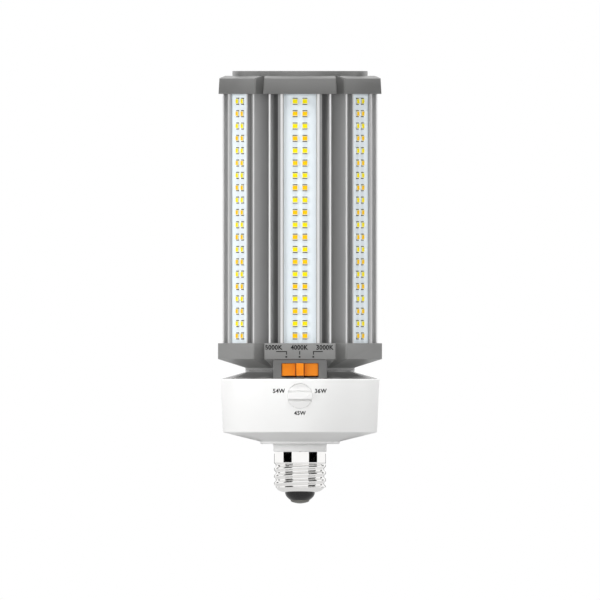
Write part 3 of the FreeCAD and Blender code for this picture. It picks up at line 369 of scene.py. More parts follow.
# %% Boards
COAT_CLOUD = 6              # size of the clouds in the screen-printed coat


def solder_mask(name, colour, shade, track_mm):
    """A board's paint between two close shades, over tracks that repeat every so many millimetres."""
    material, tree, shader, place = new_finish(name, **{"IOR": 1.55, "Roughness": 0.35})
    cloud = add_node(tree, "ShaderNodeTexNoise", inputs={
        "Vector": place, "Scale": per_metre(COAT_CLOUD), "Detail": 2.0}).outputs["Fac"]
    tint = add_node(tree, "ShaderNodeMix", {"data_type": "RGBA"}, {
        0: cloud, 6: linear(colour), 7: linear(shade)}).outputs[2]
    tracks = add_node(tree, "ShaderNodeTexWave", {"bands_direction": "Z", "wave_profile": "TRI"}, {
        "Vector": place, "Scale": per_metre(track_mm) / math.pi, "Distortion": 0.0}).outputs["Fac"]
    relief = add_node(tree, "ShaderNodeBump", inputs={
        "Height": tracks, "Strength": 0.15, "Distance": 0.02 * MM}).outputs["Normal"]
    tree.links.new(tint, shader.inputs["Base Color"])
    tree.links.new(relief, shader.inputs["Normal"])
    return material


WHITE_MASK = solder_mask("white_solder_mask_on_aluminium", "#F2FAFE", "#EDF6FC", 6.2)
GREEN_MASK = solder_mask("green_solder_mask_fr4", "#1E5A30", "#1A5029", 2.0)
print("finishes with the boards:", len(bpy.data.materials))

# %% [markdown]
# ### Metals
# Extruded aluminium keeps fine lines along its length from the die, and the anodised skin spreads
# the reflection across them. The nickel of the cap is rolled and plated bright: almost a mirror.
# The aluminium's tint carries painted shade and a painted highlight: it is bright at the fin tips and
# darkens into the grooves, following how far out on its lobe a point lies. A colour ramp holds that:
# its stops are places in millimetres.

# %% Metals


def drawn_metal(name, colour, shade, roughness, line_mm, along_mm, depth_mm, spread=0.06):
    """A metal whose fine lines run along Z. Gives its nodes too, for finishes that build on it."""
    material, tree, shader, place = new_finish(name, **{"Metallic": 1.0})
    stretch = add_node(tree, "ShaderNodeMapping", inputs={
        "Vector": place, "Scale": (1.0, 1.0, line_mm / along_mm)}).outputs["Vector"]
    lines = add_node(tree, "ShaderNodeTexNoise", inputs={
        "Vector": stretch, "Scale": per_metre(line_mm), "Detail": 2.0}).outputs["Fac"]
    tint = add_node(tree, "ShaderNodeMix", {"data_type": "RGBA"}, {
        0: lines, 6: linear(colour), 7: linear(shade)}).outputs[2]
    gloss = add_node(tree, "ShaderNodeMapRange", inputs={
        "Value": lines, "To Min": roughness - spread, "To Max": roughness + spread}).outputs[0]
    relief = add_node(tree, "ShaderNodeBump", inputs={
        "Height": lines, "Strength": 0.3, "Distance": depth_mm * MM}).outputs["Normal"]
    tree.links.new(tint, shader.inputs["Base Color"])
    tree.links.new(gloss, shader.inputs["Roughness"])
    tree.links.new(relief, shader.inputs["Normal"])
    return material, tree, shader, place, tint


GROOVE_OUT, LIP_OUT = 27.4, 36.4    # deepest and farthest place of the section along a lobe


def aluminium_with_painted_shade(name, metallic, stops):
    """Anodised aluminium with painted shade: its tint darkens the farther in on its lobe a point lies."""
    material, tree, shader, place, tint = drawn_metal(name, "#FAFAFA", "#F2F2F2", 0.4, 0.4, 40, 0.004)
    shader.inputs["Metallic"].default_value = metallic
    reach = None
    for lobe in range(LOBES // 2):
        turn = math.radians(lobe * 360 / LOBES)
        along = add_node(tree, "ShaderNodeVectorMath", {"operation": "DOT_PRODUCT"}, {
            0: place, 1: (math.sin(turn), -math.cos(turn), 0.0)}).outputs["Value"]
        along = add_node(tree, "ShaderNodeMath", {"operation": "ABSOLUTE"}, {0: along}).outputs[0]
        reach = along if reach is None else add_node(tree, "ShaderNodeMath", {"operation": "MAXIMUM"}, {
            0: reach, 1: along}).outputs[0]
    depth = add_node(tree, "ShaderNodeMapRange", inputs={
        "Value": reach, "From Min": GROOVE_OUT * MM, "From Max": LIP_OUT * MM}).outputs[0]
    # The ramp paints shade into the grooves and a highlight onto the fin tips.
    painted_shade_ramp = add_node(tree, "ShaderNodeValToRGB", inputs={"Fac": depth})
    for number, (out, code) in enumerate(stops):
        points = painted_shade_ramp.color_ramp.elements
        point = points[0] if number == 0 else points.new((out - GROOVE_OUT) / (LIP_OUT - GROOVE_OUT))
        point.position = (out - GROOVE_OUT) / (LIP_OUT - GROOVE_OUT)
        point.color = linear(code)
    shaded_tint = add_node(tree, "ShaderNodeMix", {"data_type": "RGBA", "blend_type": "MULTIPLY"}, {
        0: 1.0, 6: tint, 7: painted_shade_ramp.outputs["Color"]}).outputs[2]
    tree.links.new(shaded_tint, shader.inputs["Base Color"])
    return material


# 6063 aluminium, extruded and satin anodised: the clear oxide skin scatters a part of the light,
# so it isn't a full mirror. Its tint is painted shade deep in the grooves and a painted highlight,
# white, on the fin tips.
ALUMINIUM_SHADED = aluminium_with_painted_shade("aluminium_anodised_painted_shade", 0.75, (
    (27.4, "#C8C8C8"), (31.5, "#CECECE"), (34.4, "#D6D6D6"), (35.7, "#DEDEDE"), (36.0, "#FFFFFF")))
# The same skin in the narrow channels beside the fins, with painted shade: darkest next to the lip,
# lighter towards the fin.
ALUMINIUM_CHANNEL_SHADED = aluminium_with_painted_shade("aluminium_channel_painted_shade", 0.5, (
    (31.2, "#6A6A6A"), (31.6, "#7C7C7C"), (32.2, "#BCBCBC"), (32.9, "#ECECEC"), (34.7, "#F8F8F8")))
# The step and the lip that hold the board, with painted shade that darkens them down the step.
ALUMINIUM_LIP_SHADED = aluminium_with_painted_shade("aluminium_lip_painted_shade", 0.6, (
    (31.2, "#6A6A6A"), (34.0, "#ACACAC"), (34.4, "#ACACAC"), (36.15, "#CCCCCC")))
# Brass shell, rolled thread, bright nickel plate.
NICKEL = drawn_metal("nickel_plate_bright", "#FCFBFA", "#F8F7F5", 0.035, 3.0, 3.0, 0.0003, 0.01)[0]
# Zinc-plated steel screws, a little yellow and dull.
ZINC = drawn_metal("steel_zinc_plated", "#C9C8C0", "#BDBCB4", 0.35, 0.6, 0.6, 0.004)[0]
# Dip-soldered terminals of the LED packages: matt, a warm grey.
TIN = drawn_metal("tin_solder_dipped", "#77735E", "#69654F", 0.4, 0.5, 0.5, 0.01)[0]
# The contact of the cap is the same solder, cleaner and a little brighter.
CONTACT = drawn_metal("tin_solder_contact", "#8A8984", "#7A7974", 0.4, 0.5, 0.5, 0.01)[0]
# Stamped steel can of the slide switch.
STEEL = drawn_metal("steel_stamped_bright", "#B9B9B7", "#AEAEAC", 0.3, 0.4, 6, 0.004)[0]
print("finishes with the metals:", len(bpy.data.materials))

# %% [markdown]
# ### Black glass
# The foot of the cap is pressed glass, nearly black and fire-polished, so it has a sharp highlight
# over a dark body. A few swirls in the gloss stand for the marks of the mould.

# %% Glass
BLACK_GLASS, tree, shader, place = new_finish("black_pressed_glass", **{"IOR": 1.52})
swirl = add_node(tree, "ShaderNodeTexNoise", inputs={
    "Vector": place, "Scale": per_metre(2.5), "Detail": 2.0, "Distortion": 0.8}).outputs["Fac"]
tint = add_node(tree, "ShaderNodeMix", {"data_type": "RGBA"}, {
    0: swirl, 6: linear("#0C0C0D"), 7: linear("#151517")}).outputs[2]
gloss = add_node(tree, "ShaderNodeMapRange", inputs={
    "Value": swirl, "To Min": 0.1, "To Max": 0.2}).outputs[0]
tree.links.new(tint, shader.inputs["Base Color"])
tree.links.new(gloss, shader.inputs["Roughness"])
print("finishes in all but the studio:", len(bpy.data.materials))

# %% [markdown]
# ### Dressing a piece
# Every finished piece gets its materials, the body that it rides on, and the CAD nodes that it
# stands for. Two helpers do this in the same way for all.

# %% Dressing and placing


def dress(piece, *materials):
    """Gives a piece its materials in place of any that it has."""
    piece.data.materials.clear()
    for material in materials:
        piece.data.materials.append(material)
    return piece


def place_on(piece, body, slot, *nodes):
    """Lets a finished piece ride on its body and stand for its CAD nodes."""
    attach(piece, body)
    if nodes:
        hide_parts(*nodes)
    print(piece.name, "faces:", len(piece.data.polygons))
    return piece


# %% [markdown]
# ## The screw cap
# A lamp cap is a thin brass cup with its thread rolled in. It could be rings, but a screw's helix
# shows in its outline, so a Screw modifier turns one pitch of wave up round the axis. Both ends of
# that helix are cut flat, pulled round with To Sphere and drawn on as the plain band and the rounded
# foot, and Solidify gives the wall.

# %% Threaded shell
cap_low, cap_high = size_of("screw_shell")
CAP_RADIUS, CAP_FOOT_Z = cap_high.x, cap_low.z
THREAD_PITCH = 3.63
THREAD_ROOT = CAP_RADIUS - 0.95
THREAD_TOP_Z = -6.4
THREAD_FOOT_Z = -17.9
THREAD_STEPS = 20           # points on one wave of the thread
THREAD_SIDES = 96           # points round one turn of it
THREAD_TURNS = 4
FULLNESS = 0.6              # 1 gives a plain cosine wave, less gives rounder crests and roots
BAND_RADIUS = CAP_RADIUS - 0.05
SHELL_WALL = 0.35
RING_STEP = 0.45            # points closer than this are merged on the cut ends
CUT_THRESHOLD = 0.0001 * MM     # a bisect cuts all that is farther than this from its plane

nothing()
bpy.ops.mesh.primitive_plane_add(size=MM)
shell = bpy.context.object
shell.name = "threaded_shell"
edit(shell)
bpy.ops.mesh.merge(type="CENTER")
middle_radius = (CAP_RADIUS + THREAD_ROOT) / 2
wave_height = (CAP_RADIUS - THREAD_ROOT) / 2
start_z = THREAD_FOOT_Z - THREAD_PITCH
start = Vector((middle_radius + wave_height, 0, start_z))
bpy.ops.transform.translate(value=start * MM)
for step in range(1, THREAD_STEPS + 1):
    swing = 2 * math.pi * step / THREAD_STEPS
    wave = math.copysign(abs(math.cos(swing)) ** FULLNESS, math.cos(swing))
    point = Vector((middle_radius + wave_height * wave, 0, start_z + THREAD_PITCH * step / THREAD_STEPS))
    bpy.ops.mesh.extrude_vertices_move(TRANSFORM_OT_translate={"value": (point - start) * MM})
    start = point
done(shell)
thread = shell.modifiers.new("thread", "SCREW")
thread.axis = "Z"
thread.steps = thread.render_steps = THREAD_SIDES
thread.screw_offset = THREAD_PITCH * MM
thread.iterations = THREAD_TURNS
thread.use_merge_vertices = True
bpy.ops.object.modifier_apply(modifier=thread.name)
edit(shell)
bpy.ops.mesh.remove_doubles(threshold=0.002 * MM)
for level, way in ((THREAD_TOP_Z, 1), (THREAD_FOOT_Z, -1)):
    bpy.ops.mesh.select_all(action="SELECT")
    bpy.ops.mesh.bisect(plane_co=(0, 0, level * MM), plane_no=(0, 0, way), clear_outer=True,
                        threshold=CUT_THRESHOLD)
print("thread:", len(shell.data.vertices), "points")

# %% Plain band and rounded foot
# Rings of (radius, z): the band rises from the thread to the rim, the foot rounds in below it.
BAND = [(BAND_RADIUS - 0.3, -6.05), (BAND_RADIUS - 0.08, -5.8), (BAND_RADIUS, -5.5),
        (BAND_RADIUS, -5.35), (BAND_RADIUS, -0.1)]
FOOT = [(12.0, -18.25), (11.55, -18.9), (10.75, -19.55), (9.6, -20.05), (8.3, -20.35),
        (7.6, CAP_FOOT_Z)]


def rim_at(level):
    """A test for the edges of the ring that lies at a level."""
    return lambda a, b: abs(a.z - level) < 0.01 and abs(b.z - level) < 0.01


for level, rings in ((THREAD_TOP_Z, BAND), (THREAD_FOOT_Z, FOOT)):
    pick(shell, rim_at(level), "EDGE")
    bpy.ops.mesh.remove_doubles(threshold=RING_STEP * MM)
    pick(shell, rim_at(level), "EDGE")
    z, radius = level, None
    for ring_radius, ring_z in rings:
        bpy.ops.mesh.extrude_edges_move(TRANSFORM_OT_translate={"value": (0, 0, (ring_z - z) * MM)})
        if radius is None:
            bpy.ops.transform.tosphere(value=1.0, center_override=(0, 0, ring_z * MM))
            radius = mean_radius(chosen_points(shell))
        share = ring_radius / radius
        bpy.ops.transform.resize(value=(share, share, 1), center_override=(0, 0, ring_z * MM))
        z, radius = ring_z, ring_radius
outward(shell)
wall = shell.modifiers.new("wall", "SOLIDIFY")
wall.thickness = SHELL_WALL * MM
wall.offset = -1
bpy.ops.object.modifier_apply(modifier=wall.name)
smooth(shell, 60)
dress(shell, NICKEL)
place_on(shell, "lamp", "plated_shell", "screw_shell")

# %% [markdown]
# ## Glass button and contact
# The glass is pressed into the foot of the shell and bulges out below it, with the domed solder
# contact at its lowest point. Both are turned shapes with a round profile.

# %% Button and contact


def dome(radius, end_radius, z, end_z, steps, power):
    """Ring sizes down a round dome. The power says how late it narrows."""
    rings = []
    for step in range(steps + 1):
        drop = math.sin(step / steps * math.pi / 2)
        rings.append((radius - (radius - end_radius) * drop ** power, z + (end_z - z) * drop))
    return rings


glass_low, glass_high = size_of("base_insulator")
tip_low, tip_high = size_of("center_contact")
GLASS_RADIUS = 7.5
TIP_RADIUS = tip_high.x
SEAT_RADIUS = GLASS_RADIUS + 0.9    # the glass is wider inside the shell, which holds it
glass_seat = [(SEAT_RADIUS, glass_high.z), (SEAT_RADIUS, CAP_FOOT_Z + 1.3),
              (GLASS_RADIUS, CAP_FOOT_Z + 0.4)]
glass_bulge = dome(GLASS_RADIUS, TIP_RADIUS + 0.05, CAP_FOOT_Z - 0.1, glass_low.z, 12, 2.1)
glass = turned("glass_button", glass_seat + glass_bulge)
smooth(glass, 50)
dress(glass, BLACK_GLASS)
place_on(glass, "lamp", "cap_glass", "base_insulator")
tip_bulge = dome(TIP_RADIUS, 0.6, glass_low.z, tip_low.z, 10, 3.0)
tip = turned("contact_tip", [(TIP_RADIUS, glass_low.z + 0.15)] + tip_bulge, sides=64)
smooth(tip, 60)
dress(tip, CONTACT)
place_on(tip, "lamp", "contact_tin", "center_contact")

# %% [markdown]
# ## Driver housing
# A deep white moulding: a neck over the cap, a step, a shallow cone and a drafted wall. It could be
# spun from a section. Here one ring is extruded and resized all the way round the wall, outside
# and in, which keeps its faces in even rings. Then its edges are rounded, and the round window for
# the knob is cut through the front.

# %% White housing
house_high = size_of("driver_housing")[1]
RIM_Z = house_high.z
WALL_RADIUS = house_high.x
WALL_FOOT_RADIUS = WALL_RADIUS - 1.3
WALL_FOOT_Z = RIM_Z - 26.92
WALL = 2.0                  # thickness, and 0.1 mm less at the rim
NECK_BORE, NECK_RADIUS = 12.3, 13.4
STEP_RADIUS, STEP_Z = 20.0, 3.93
CONE_Z = 5.14               # where the cone starts, above the step
KNOB_Z = WALL_FOOT_Z + 18.32
KNOB_RADIUS = 6.3
KNOB_GAP = 0.04
CUT_FROM_Y, CUT_TO_Y = -45, -30     # cutters at the front start before the lamp and end inside it
ROUND_SIDES = 192           # points round the wide turned pieces
housing_outside = [
    (NECK_BORE, 0.0), (NECK_RADIUS, 0.0), (NECK_RADIUS, STEP_Z), (STEP_RADIUS, STEP_Z),
    (STEP_RADIUS, CONE_Z), (WALL_FOOT_RADIUS, WALL_FOOT_Z), (WALL_RADIUS, RIM_Z)]
housing_inside = [
    (WALL_RADIUS - 1.9, RIM_Z), (WALL_FOOT_RADIUS - WALL, WALL_FOOT_Z + WALL),
    (STEP_RADIUS, CONE_Z + WALL), (NECK_BORE, CONE_Z + WALL), (NECK_BORE, 0.0)]
housing = turned("white_housing", housing_outside + housing_inside, ROUND_SIDES, closed=False)
soften(housing, 0.6, 4, 20)
knob_window = rod("knob_window", KNOB_RADIUS + KNOB_GAP, CUT_FROM_Y, CUT_TO_Y, "Y", KNOB_Z, 128)
combine(housing, knob_window)
smooth(housing, 30)
dress(housing, WHITE_PC)
place_on(housing, "lamp", "white_plastic", "driver_housing")

# %% [markdown]
# ## Lid and waist
# The grey lid closes the housing with a flat cone up to a narrow waist. Its front is notched for
# the switch frame that hangs from the collar above.

# %% Grey lid
LID_TOP_Z = size_of("housing_lid")[1].z
LID_RADIUS = 39.5
LID_FOOT_Z = RIM_Z + 0.02
SPIGOT_RADIUS, SPIGOT_BORE, SPIGOT_Z = 37.7, 37.0, RIM_Z - 1.5  # what sits inside the housing
CABLE_BORE = 16.0
WAIST_RADIUS = 27.5
FRAME_HALF, FRAME_OUT = 13.6, 36.6  # the switch frame: half width and front
lid_outside = [
    (SPIGOT_BORE, SPIGOT_Z), (SPIGOT_RADIUS, SPIGOT_Z), (SPIGOT_RADIUS, LID_FOOT_Z),
    (LID_RADIUS, LID_FOOT_Z), (WAIST_RADIUS, LID_TOP_Z - 1.1), (WAIST_RADIUS, LID_TOP_Z)]
lid_inside = [(CABLE_BORE, LID_TOP_Z), (CABLE_BORE, LID_TOP_Z - 2.5), (SPIGOT_BORE, SPIGOT_Z)]
lid = turned("grey_lid", lid_outside + lid_inside, ROUND_SIDES, closed=False)
soften(lid, 0.2, 3, 15)
combine(lid, block("lid_notch", (-FRAME_HALF - 0.2, -45, 30), (FRAME_HALF + 0.2, -20, 45)))
smooth(lid, 25)
dress(lid, LID_PC)
place_on(lid, "lamp", "grey_plastic", "housing_lid")

# %% [markdown]
# ## Lobed mouldings
# Both end pieces have the outline of three crossed bars, which makes six lobes. The bars are
# boxes, joined with Boolean, and their edges are rounded before anything is cut.

# %% Crossed bars
CORNER = 0.7                # rounding of the lobes' upright edges
CORNER_AT = 38              # those edges lie farther from the axis than this


def lobed(name, half, out, low, high, top_half=None, top_out=None):
    """Crossed bars that make the six lobes, drafted towards the top where that is asked."""
    bars = []
    for number in range(LOBES // 2):
        bar = block("bar", (-half, -out, low), (half, out, high))
        if top_half:
            pick(bar, lambda middle, normal: normal.z > 0.9)
            bpy.ops.transform.resize(value=(top_half / half, top_out / out, 1),
                                     center_override=(0, 0, high * MM))
            done(bar)
        bar.data.transform(lobe_turn(number))
        bars.append(bar)
    piece = bars[0]
    for bar in bars[1:]:
        combine(piece, bar, "UNION")
    piece.name = name
    return outward(piece)


def round_corners(piece):
    """Rounds the upright edges at the outside of the lobes."""
    pick(piece, lambda a, b: abs(a.z - b.z) > 5 and min(a.xy.length, b.xy.length) > CORNER_AT, "EDGE")
    bpy.ops.mesh.bevel(offset=CORNER * MM, segments=5, affect="EDGES")
    return done(piece)


# %% [markdown]
# ## Lower collar
# The lobed ring holds the extrusion. Below it the outline shrinks to the round waist. A loft could
# do that. Here the lower face is extruded down and pulled round, so each point runs straight
# towards the axis, which leaves the crease under every groove. The same moulding carries the frame
# of the colour switch, with its window.

# %% Switch collar
collar_high = size_of("lower_collar")[1]
RING_Z = collar_high.z - 8.0
WAIST_TOP_Z = RING_Z - 4.4  # where the lobes have run into the round waist
WAIST_BORE = 25.5
COLLAR_HALF, COLLAR_OUT = 17.9, 37.7
POCKET_HALF, POCKET_OUT = 15.95, 36.45  # the pocket that the extrusion stands in
POCKET_DEPTH = 5
WINDOW_HALF = 9.4
WINDOW_Z, WINDOW_TOP_Z = RIM_Z + 0.75, RIM_Z + 7.95
FACETED = 28                # edges sharper than this stay sharp on the mouldings
collar = lobed("switch_collar", COLLAR_HALF, COLLAR_OUT, RING_Z, collar_high.z)
round_corners(collar)
on_rim = rim_at(RING_Z)
pick(collar, lambda a, b: on_rim(a, b) and (a - b).length > 2, "EDGE")
bpy.ops.mesh.subdivide(number_cuts=7)
pick(collar, lambda middle, normal: normal.z < -0.9)
bpy.ops.mesh.dissolve_faces()
bpy.ops.mesh.extrude_region_move(TRANSFORM_OT_translate={"value": (0, 0, (WAIST_TOP_Z - RING_Z) * MM)})
bpy.ops.transform.tosphere(value=1.0, center_override=(0, 0, WAIST_TOP_Z * MM))
share = WAIST_RADIUS / mean_radius(chosen_points(collar))
bpy.ops.transform.resize(value=(share, share, 1), center_override=(0, 0, WAIST_TOP_Z * MM))
waist_drop = LID_TOP_Z + 0.02 - WAIST_TOP_Z
bpy.ops.mesh.extrude_region_move(TRANSFORM_OT_translate={"value": (0, 0, waist_drop * MM)})
outward(collar)
soften(collar, 0.15, 2, FACETED)
switch_frame = block("switch_frame", (-FRAME_HALF, -FRAME_OUT, RIM_Z + 0.1), (FRAME_HALF, -20, RING_Z + 1))
combine(collar, soften(switch_frame, 0.25, 2), "UNION")
window = block("switch_window", (-WINDOW_HALF, -40, WINDOW_Z), (WINDOW_HALF, -24, WINDOW_TOP_Z))
pick(window, lambda a, b: abs(a.y - b.y) > 10, "EDGE")
bpy.ops.mesh.bevel(offset=0.6 * MM, segments=4, affect="EDGES")
combine(collar, done(window))
combine(collar, rod("waist_bore", WAIST_BORE, RIM_Z - 2, RING_Z))
combine(collar, lobed("pocket", POCKET_HALF, POCKET_OUT, collar_high.z - POCKET_DEPTH, collar_high.z + 1))
smooth(collar, FACETED)
dress(collar, GREY_PC, CROWN_AND_SHADED_FRAME_PC)
# The front of the switch frame gets the darker grey: painted shade, as it sits back under the collar.
pick(collar, lambda middle, normal: abs(middle.x) < FRAME_HALF + 0.1 and middle.y < -FRAME_OUT + 0.5
     and middle.z < RING_Z)
place_on(paint_chosen(collar, 1), "lamp", "grey_plastic", "lower_collar")

# %% [markdown]
# ## Crown
# The top moulding has the same bars with a little draft. Each lobe's top slopes down outwards from
# a flat shelf, which a bisect cuts lobe by lobe, and a round disc stands on the shelf, with three
# screws sunk into it.

# %% Crown cap
crown_low, crown_high = size_of("crown_cap")
SCREW_SEAT, SEAT_DEPTH = 2.9, 1.8   # radius and depth of the screws' seats in the disc
SLOPE_Z = crown_high.z - SEAT_DEPTH - 2.0
SLOPE_OUT = 36.8            # where the front lobe's slope meets its foot
SLOPE = Vector((0, -0.41, 0.912))   # which way that slope faces
CROWN_HALF, CROWN_OUT = 18.6, 37.0
CROWN_TOP_HALF, CROWN_TOP_OUT = 18.0, 36.75
SHELF = 1.35                # the slopes end in a flat shelf this far above their foot
SHOULDER = 1.1              # rounding along both sides of a lobe's sloping top
DISC_RADIUS = 34.1
SCREW_CIRCLE = 22.5
SCREW_TURNS = (30, 150, 270)
TOP_GAP = 0.001             # keeps the disc inside the CAD's height


def screw_place(turn):
    """The place of a crown screw, turned from the front."""
    return Matrix.Rotation(math.radians(turn), 4, "Z") @ Matrix.Translation((0, -SCREW_CIRCLE * MM, 0))


crown = lobed("crown", CROWN_HALF, CROWN_OUT, crown_low.z, SLOPE_Z + SHELF, CROWN_TOP_HALF, CROWN_TOP_OUT)
for lobe in range(LOBES):
    turn = lobe_turn(lobe)
    edit(crown)
    bpy.ops.mesh.bisect(plane_co=turn @ Vector((0, -SLOPE_OUT * MM, SLOPE_Z * MM)), plane_no=turn @ SLOPE,
                        use_fill=True, clear_outer=True, threshold=CUT_THRESHOLD)
outward(crown)
round_corners(crown)
pick(crown, lambda a, b: min(a.z, b.z) > SLOPE_Z - 0.3 and abs(a.z - b.z) > 1.0, "EDGE")
bpy.ops.mesh.bevel(offset=SHOULDER * MM, segments=4, affect="EDGES")
outward(crown)
soften(crown, 0.15, 2, FACETED)
print("crown before its disc:", len(crown.data.polygons), "faces")

# %% Disc, pocket and screw seats
disc = turned("disc", [(DISC_RADIUS, SLOPE_Z + 0.5), (DISC_RADIUS, crown_high.z - TOP_GAP)], ROUND_SIDES)
combine(crown, soften(disc, 0.12, 2), "UNION")
combine(crown, lobed("pocket", POCKET_HALF, POCKET_OUT, crown_low.z - 1, crown_low.z + POCKET_DEPTH))
for turn in SCREW_TURNS:
    seat = rod("seat", SCREW_SEAT, crown_high.z - SEAT_DEPTH, crown_high.z + 1)
    seat.data.transform(screw_place(turn))
    combine(crown, seat)
smooth(crown, FACETED)
dress(crown, CROWN_AND_SHADED_FRAME_PC)
place_on(crown, "lamp", "grey_plastic", "crown_cap")

# %% [markdown]
# ### Crown screws
# Three self-tapping screws hold the crown to the extrusion. Each has a turned pan head with a
# pressed cross, and is zinc plated.

# %% Pan-head screws
screw_low, screw_high = size_of("crown_screws")
HEAD_RADIUS, HEAD_RISE = 2.65, 1.6
SHANK_RADIUS = 1.25
CROSS_HALF, CROSS_REACH = 0.35, 1.5     # the two slots of the pressed cross
seat_z = screw_high.z - HEAD_RISE
pattern = turned("pan_head", [
    (SHANK_RADIUS, screw_low.z), (SHANK_RADIUS, seat_z), (HEAD_RADIUS, seat_z), (HEAD_RADIUS, seat_z + 0.8),
    (2.3, seat_z + 1.25), (1.5, seat_z + 1.52), (0.3, screw_high.z)], sides=48)
for across, along in ((CROSS_HALF, CROSS_REACH), (CROSS_REACH, CROSS_HALF)):
    combine(pattern, block("cross", (-across, -along, seat_z + 0.7), (across, along, screw_high.z + 1)))
smooth(pattern, 35)
screws = [copied(pattern, "screw", screw_place(turn)) for turn in SCREW_TURNS]
bpy.data.objects.remove(pattern)
place_on(dress(joined("pan_head_screws", screws), ZINC), "lamp", "zinc_screw", "crown_screws")

# %% [markdown]
# ## Heat sink
# The extrusion is one long section, which the CAD gives exactly. A copy of its mesh is welded, so
# that the small facets of every curve shade as one, and its flat sides become single faces. Three
# finishes of the same metal are given by place, each with its own painted shade: the fins, the
# channels beside them and the steps that hold the boards.

# %% Fins and channels
sink = copied(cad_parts["heat_sink"], "fin_extrusion", Matrix.Identity(4))
for key in [k for k in sink.keys() if k.startswith("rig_")]:
    del sink[key]
sink.parent = None
edit(sink)
bpy.ops.mesh.customdata_custom_splitnormals_clear()
edit(sink)
bpy.ops.mesh.remove_doubles(threshold=0.001 * MM)
bpy.ops.mesh.dissolve_limited(angle_limit=math.radians(0.3))
done(sink)
smooth(sink, 32)
dress(sink, ALUMINIUM_SHADED, ALUMINIUM_CHANNEL_SHADED, ALUMINIUM_LIP_SHADED)
FIN_SIDE, STEP_SIDE = 14.62, 11.05  # the fins' inner sides and the steps' sides, from a lobe's middle
CHANNEL_FLOOR = 31.0                # all that is shown between them lies farther out than this


def on_a_lobe(middle, half):
    """Says whether a place lies within a half width of the front of any lobe."""
    for lobe in range(LOBES):
        place = lobe_turn(lobe).inverted() @ middle
        if abs(place.x) < half and place.y < -CHANNEL_FLOOR:
            return True
    return False


# The channels and the steps take their own ramps of painted shade.
for number, half in ((1, FIN_SIDE), (2, STEP_SIDE)):
    pick(sink, lambda middle, normal: on_a_lobe(middle, half))
    paint_chosen(sink, number)
place_on(sink, "lamp", "sink_aluminium", "heat_sink")

# %% [markdown]
# ## LED strips
# Each strip has forty packages of 2.8 by 3.5 mm. One package is a small white cup filled with
# phosphor between two tinned ends. There are hundreds of them, so a package has only a few faces:
# it is modelled once in each colour and copied along the board.

# %% One package
LED_WIDTH, LED_LENGTH, LED_HEIGHT = 2.8, 3.5, 0.7
TERMINAL, TERMINAL_HALF, TERMINAL_HEIGHT = 0.48, 1.2, 0.3
CUP_RIM, CUP_DEPTH = 0.2, 0.04
ROWS, PITCH, COLUMN = 20, 6.223, 2.47
FIRST_ROW_Z = collar_high.z + 3.66
BOARD_OUT = -size_of("led_board_1")[0].y


def led_package(name, phosphor):
    """A package at the origin that faces the front, with its phosphor sunk into the cup."""
    body = LED_LENGTH / 2 - TERMINAL
    cup = block(name, (-LED_WIDTH / 2, -LED_HEIGHT, -body), (LED_WIDTH / 2, 0, body))
    dress(cup, LED_BODY, phosphor, TIN)
    pick(cup, lambda middle, normal: normal.y < -0.9)
    bpy.ops.mesh.inset(thickness=CUP_RIM * MM, depth=-CUP_DEPTH * MM)
    paint_chosen(cup, 1)
    ends = []
    for side in (-1, 1):
        low, high = sorted((side * body, side * LED_LENGTH / 2))
        end = block("terminal", (-TERMINAL_HALF, -TERMINAL_HEIGHT, low), (TERMINAL_HALF, 0, high))
        dress(end, LED_BODY, phosphor, TIN)
        edit(end, "FACE")
        ends.append(paint_chosen(end, 2))
    return joined(name, [cup] + ends)


packages = {
    "cool": led_package("cool_package", COOL_PHOSPHOR),
    "warm": led_package("warm_package", WARM_PHOSPHOR),
}
print("faces of one package:", len(packages["cool"].data.polygons))

# %% Six strips of them
for kind, first_row in (("warm", 0), ("cool", 1)):
    rows = []
    for row in range(first_row, ROWS, 2):
        for side in (-1, 1):
            spot = Vector((side * COLUMN, -BOARD_OUT, FIRST_ROW_Z + row * PITCH))
            rows.append(copied(packages[kind], "led", Matrix.Translation(spot * MM)))
    strip = joined(kind + "_strip", rows)
    for lobe in range(LOBES):
        node = "%s_leds_%d" % (kind, lobe + 1)
        leds = copied(strip, node.replace("leds", "packages"), lobe_turn(lobe))
        place_on(leds, "lamp", "led_" + kind, node)
    bpy.data.objects.remove(strip)
    bpy.data.objects.remove(packages[kind])

# %% [markdown]
# ## Watt knob
# A disc in the round window with a bar grip across it and a pip that points at the number. The
# disc is turned, and the bar is a box that a Boolean trims to the disc's outline. The shadow at
# the foot of the bar is what shows it on white plastic, so a groove runs along each side of it.

# %% Knob
KNOB_FACE_Y = -39.49
KNOB_BACK_Y = -35.0
BAR_HALF = 1.65
BAR_TOP_Y = KNOB_FACE_Y - 1.1
BAR_FOOT = 2.2              # from the bar's middle to the middle of its groove
GROOVE, GROOVE_DEPTH = 1.1, 0.9
PIP_FROM, PIP_TO, PIP_HALF = 3.5, 4.5, 0.5
FACE_TURN = Matrix.Rotation(math.pi / 2, 4, "X")    # turns what faces up to the front


def in_groove(middle, normal):
    """Says whether a face of the knob lies inside one of its two grooves."""
    across = abs(abs(middle.z - KNOB_Z) - BAR_FOOT)
    return KNOB_FACE_Y + 0.2 < middle.y < KNOB_FACE_Y + 1.0 and across < GROOVE / 2 + 0.01


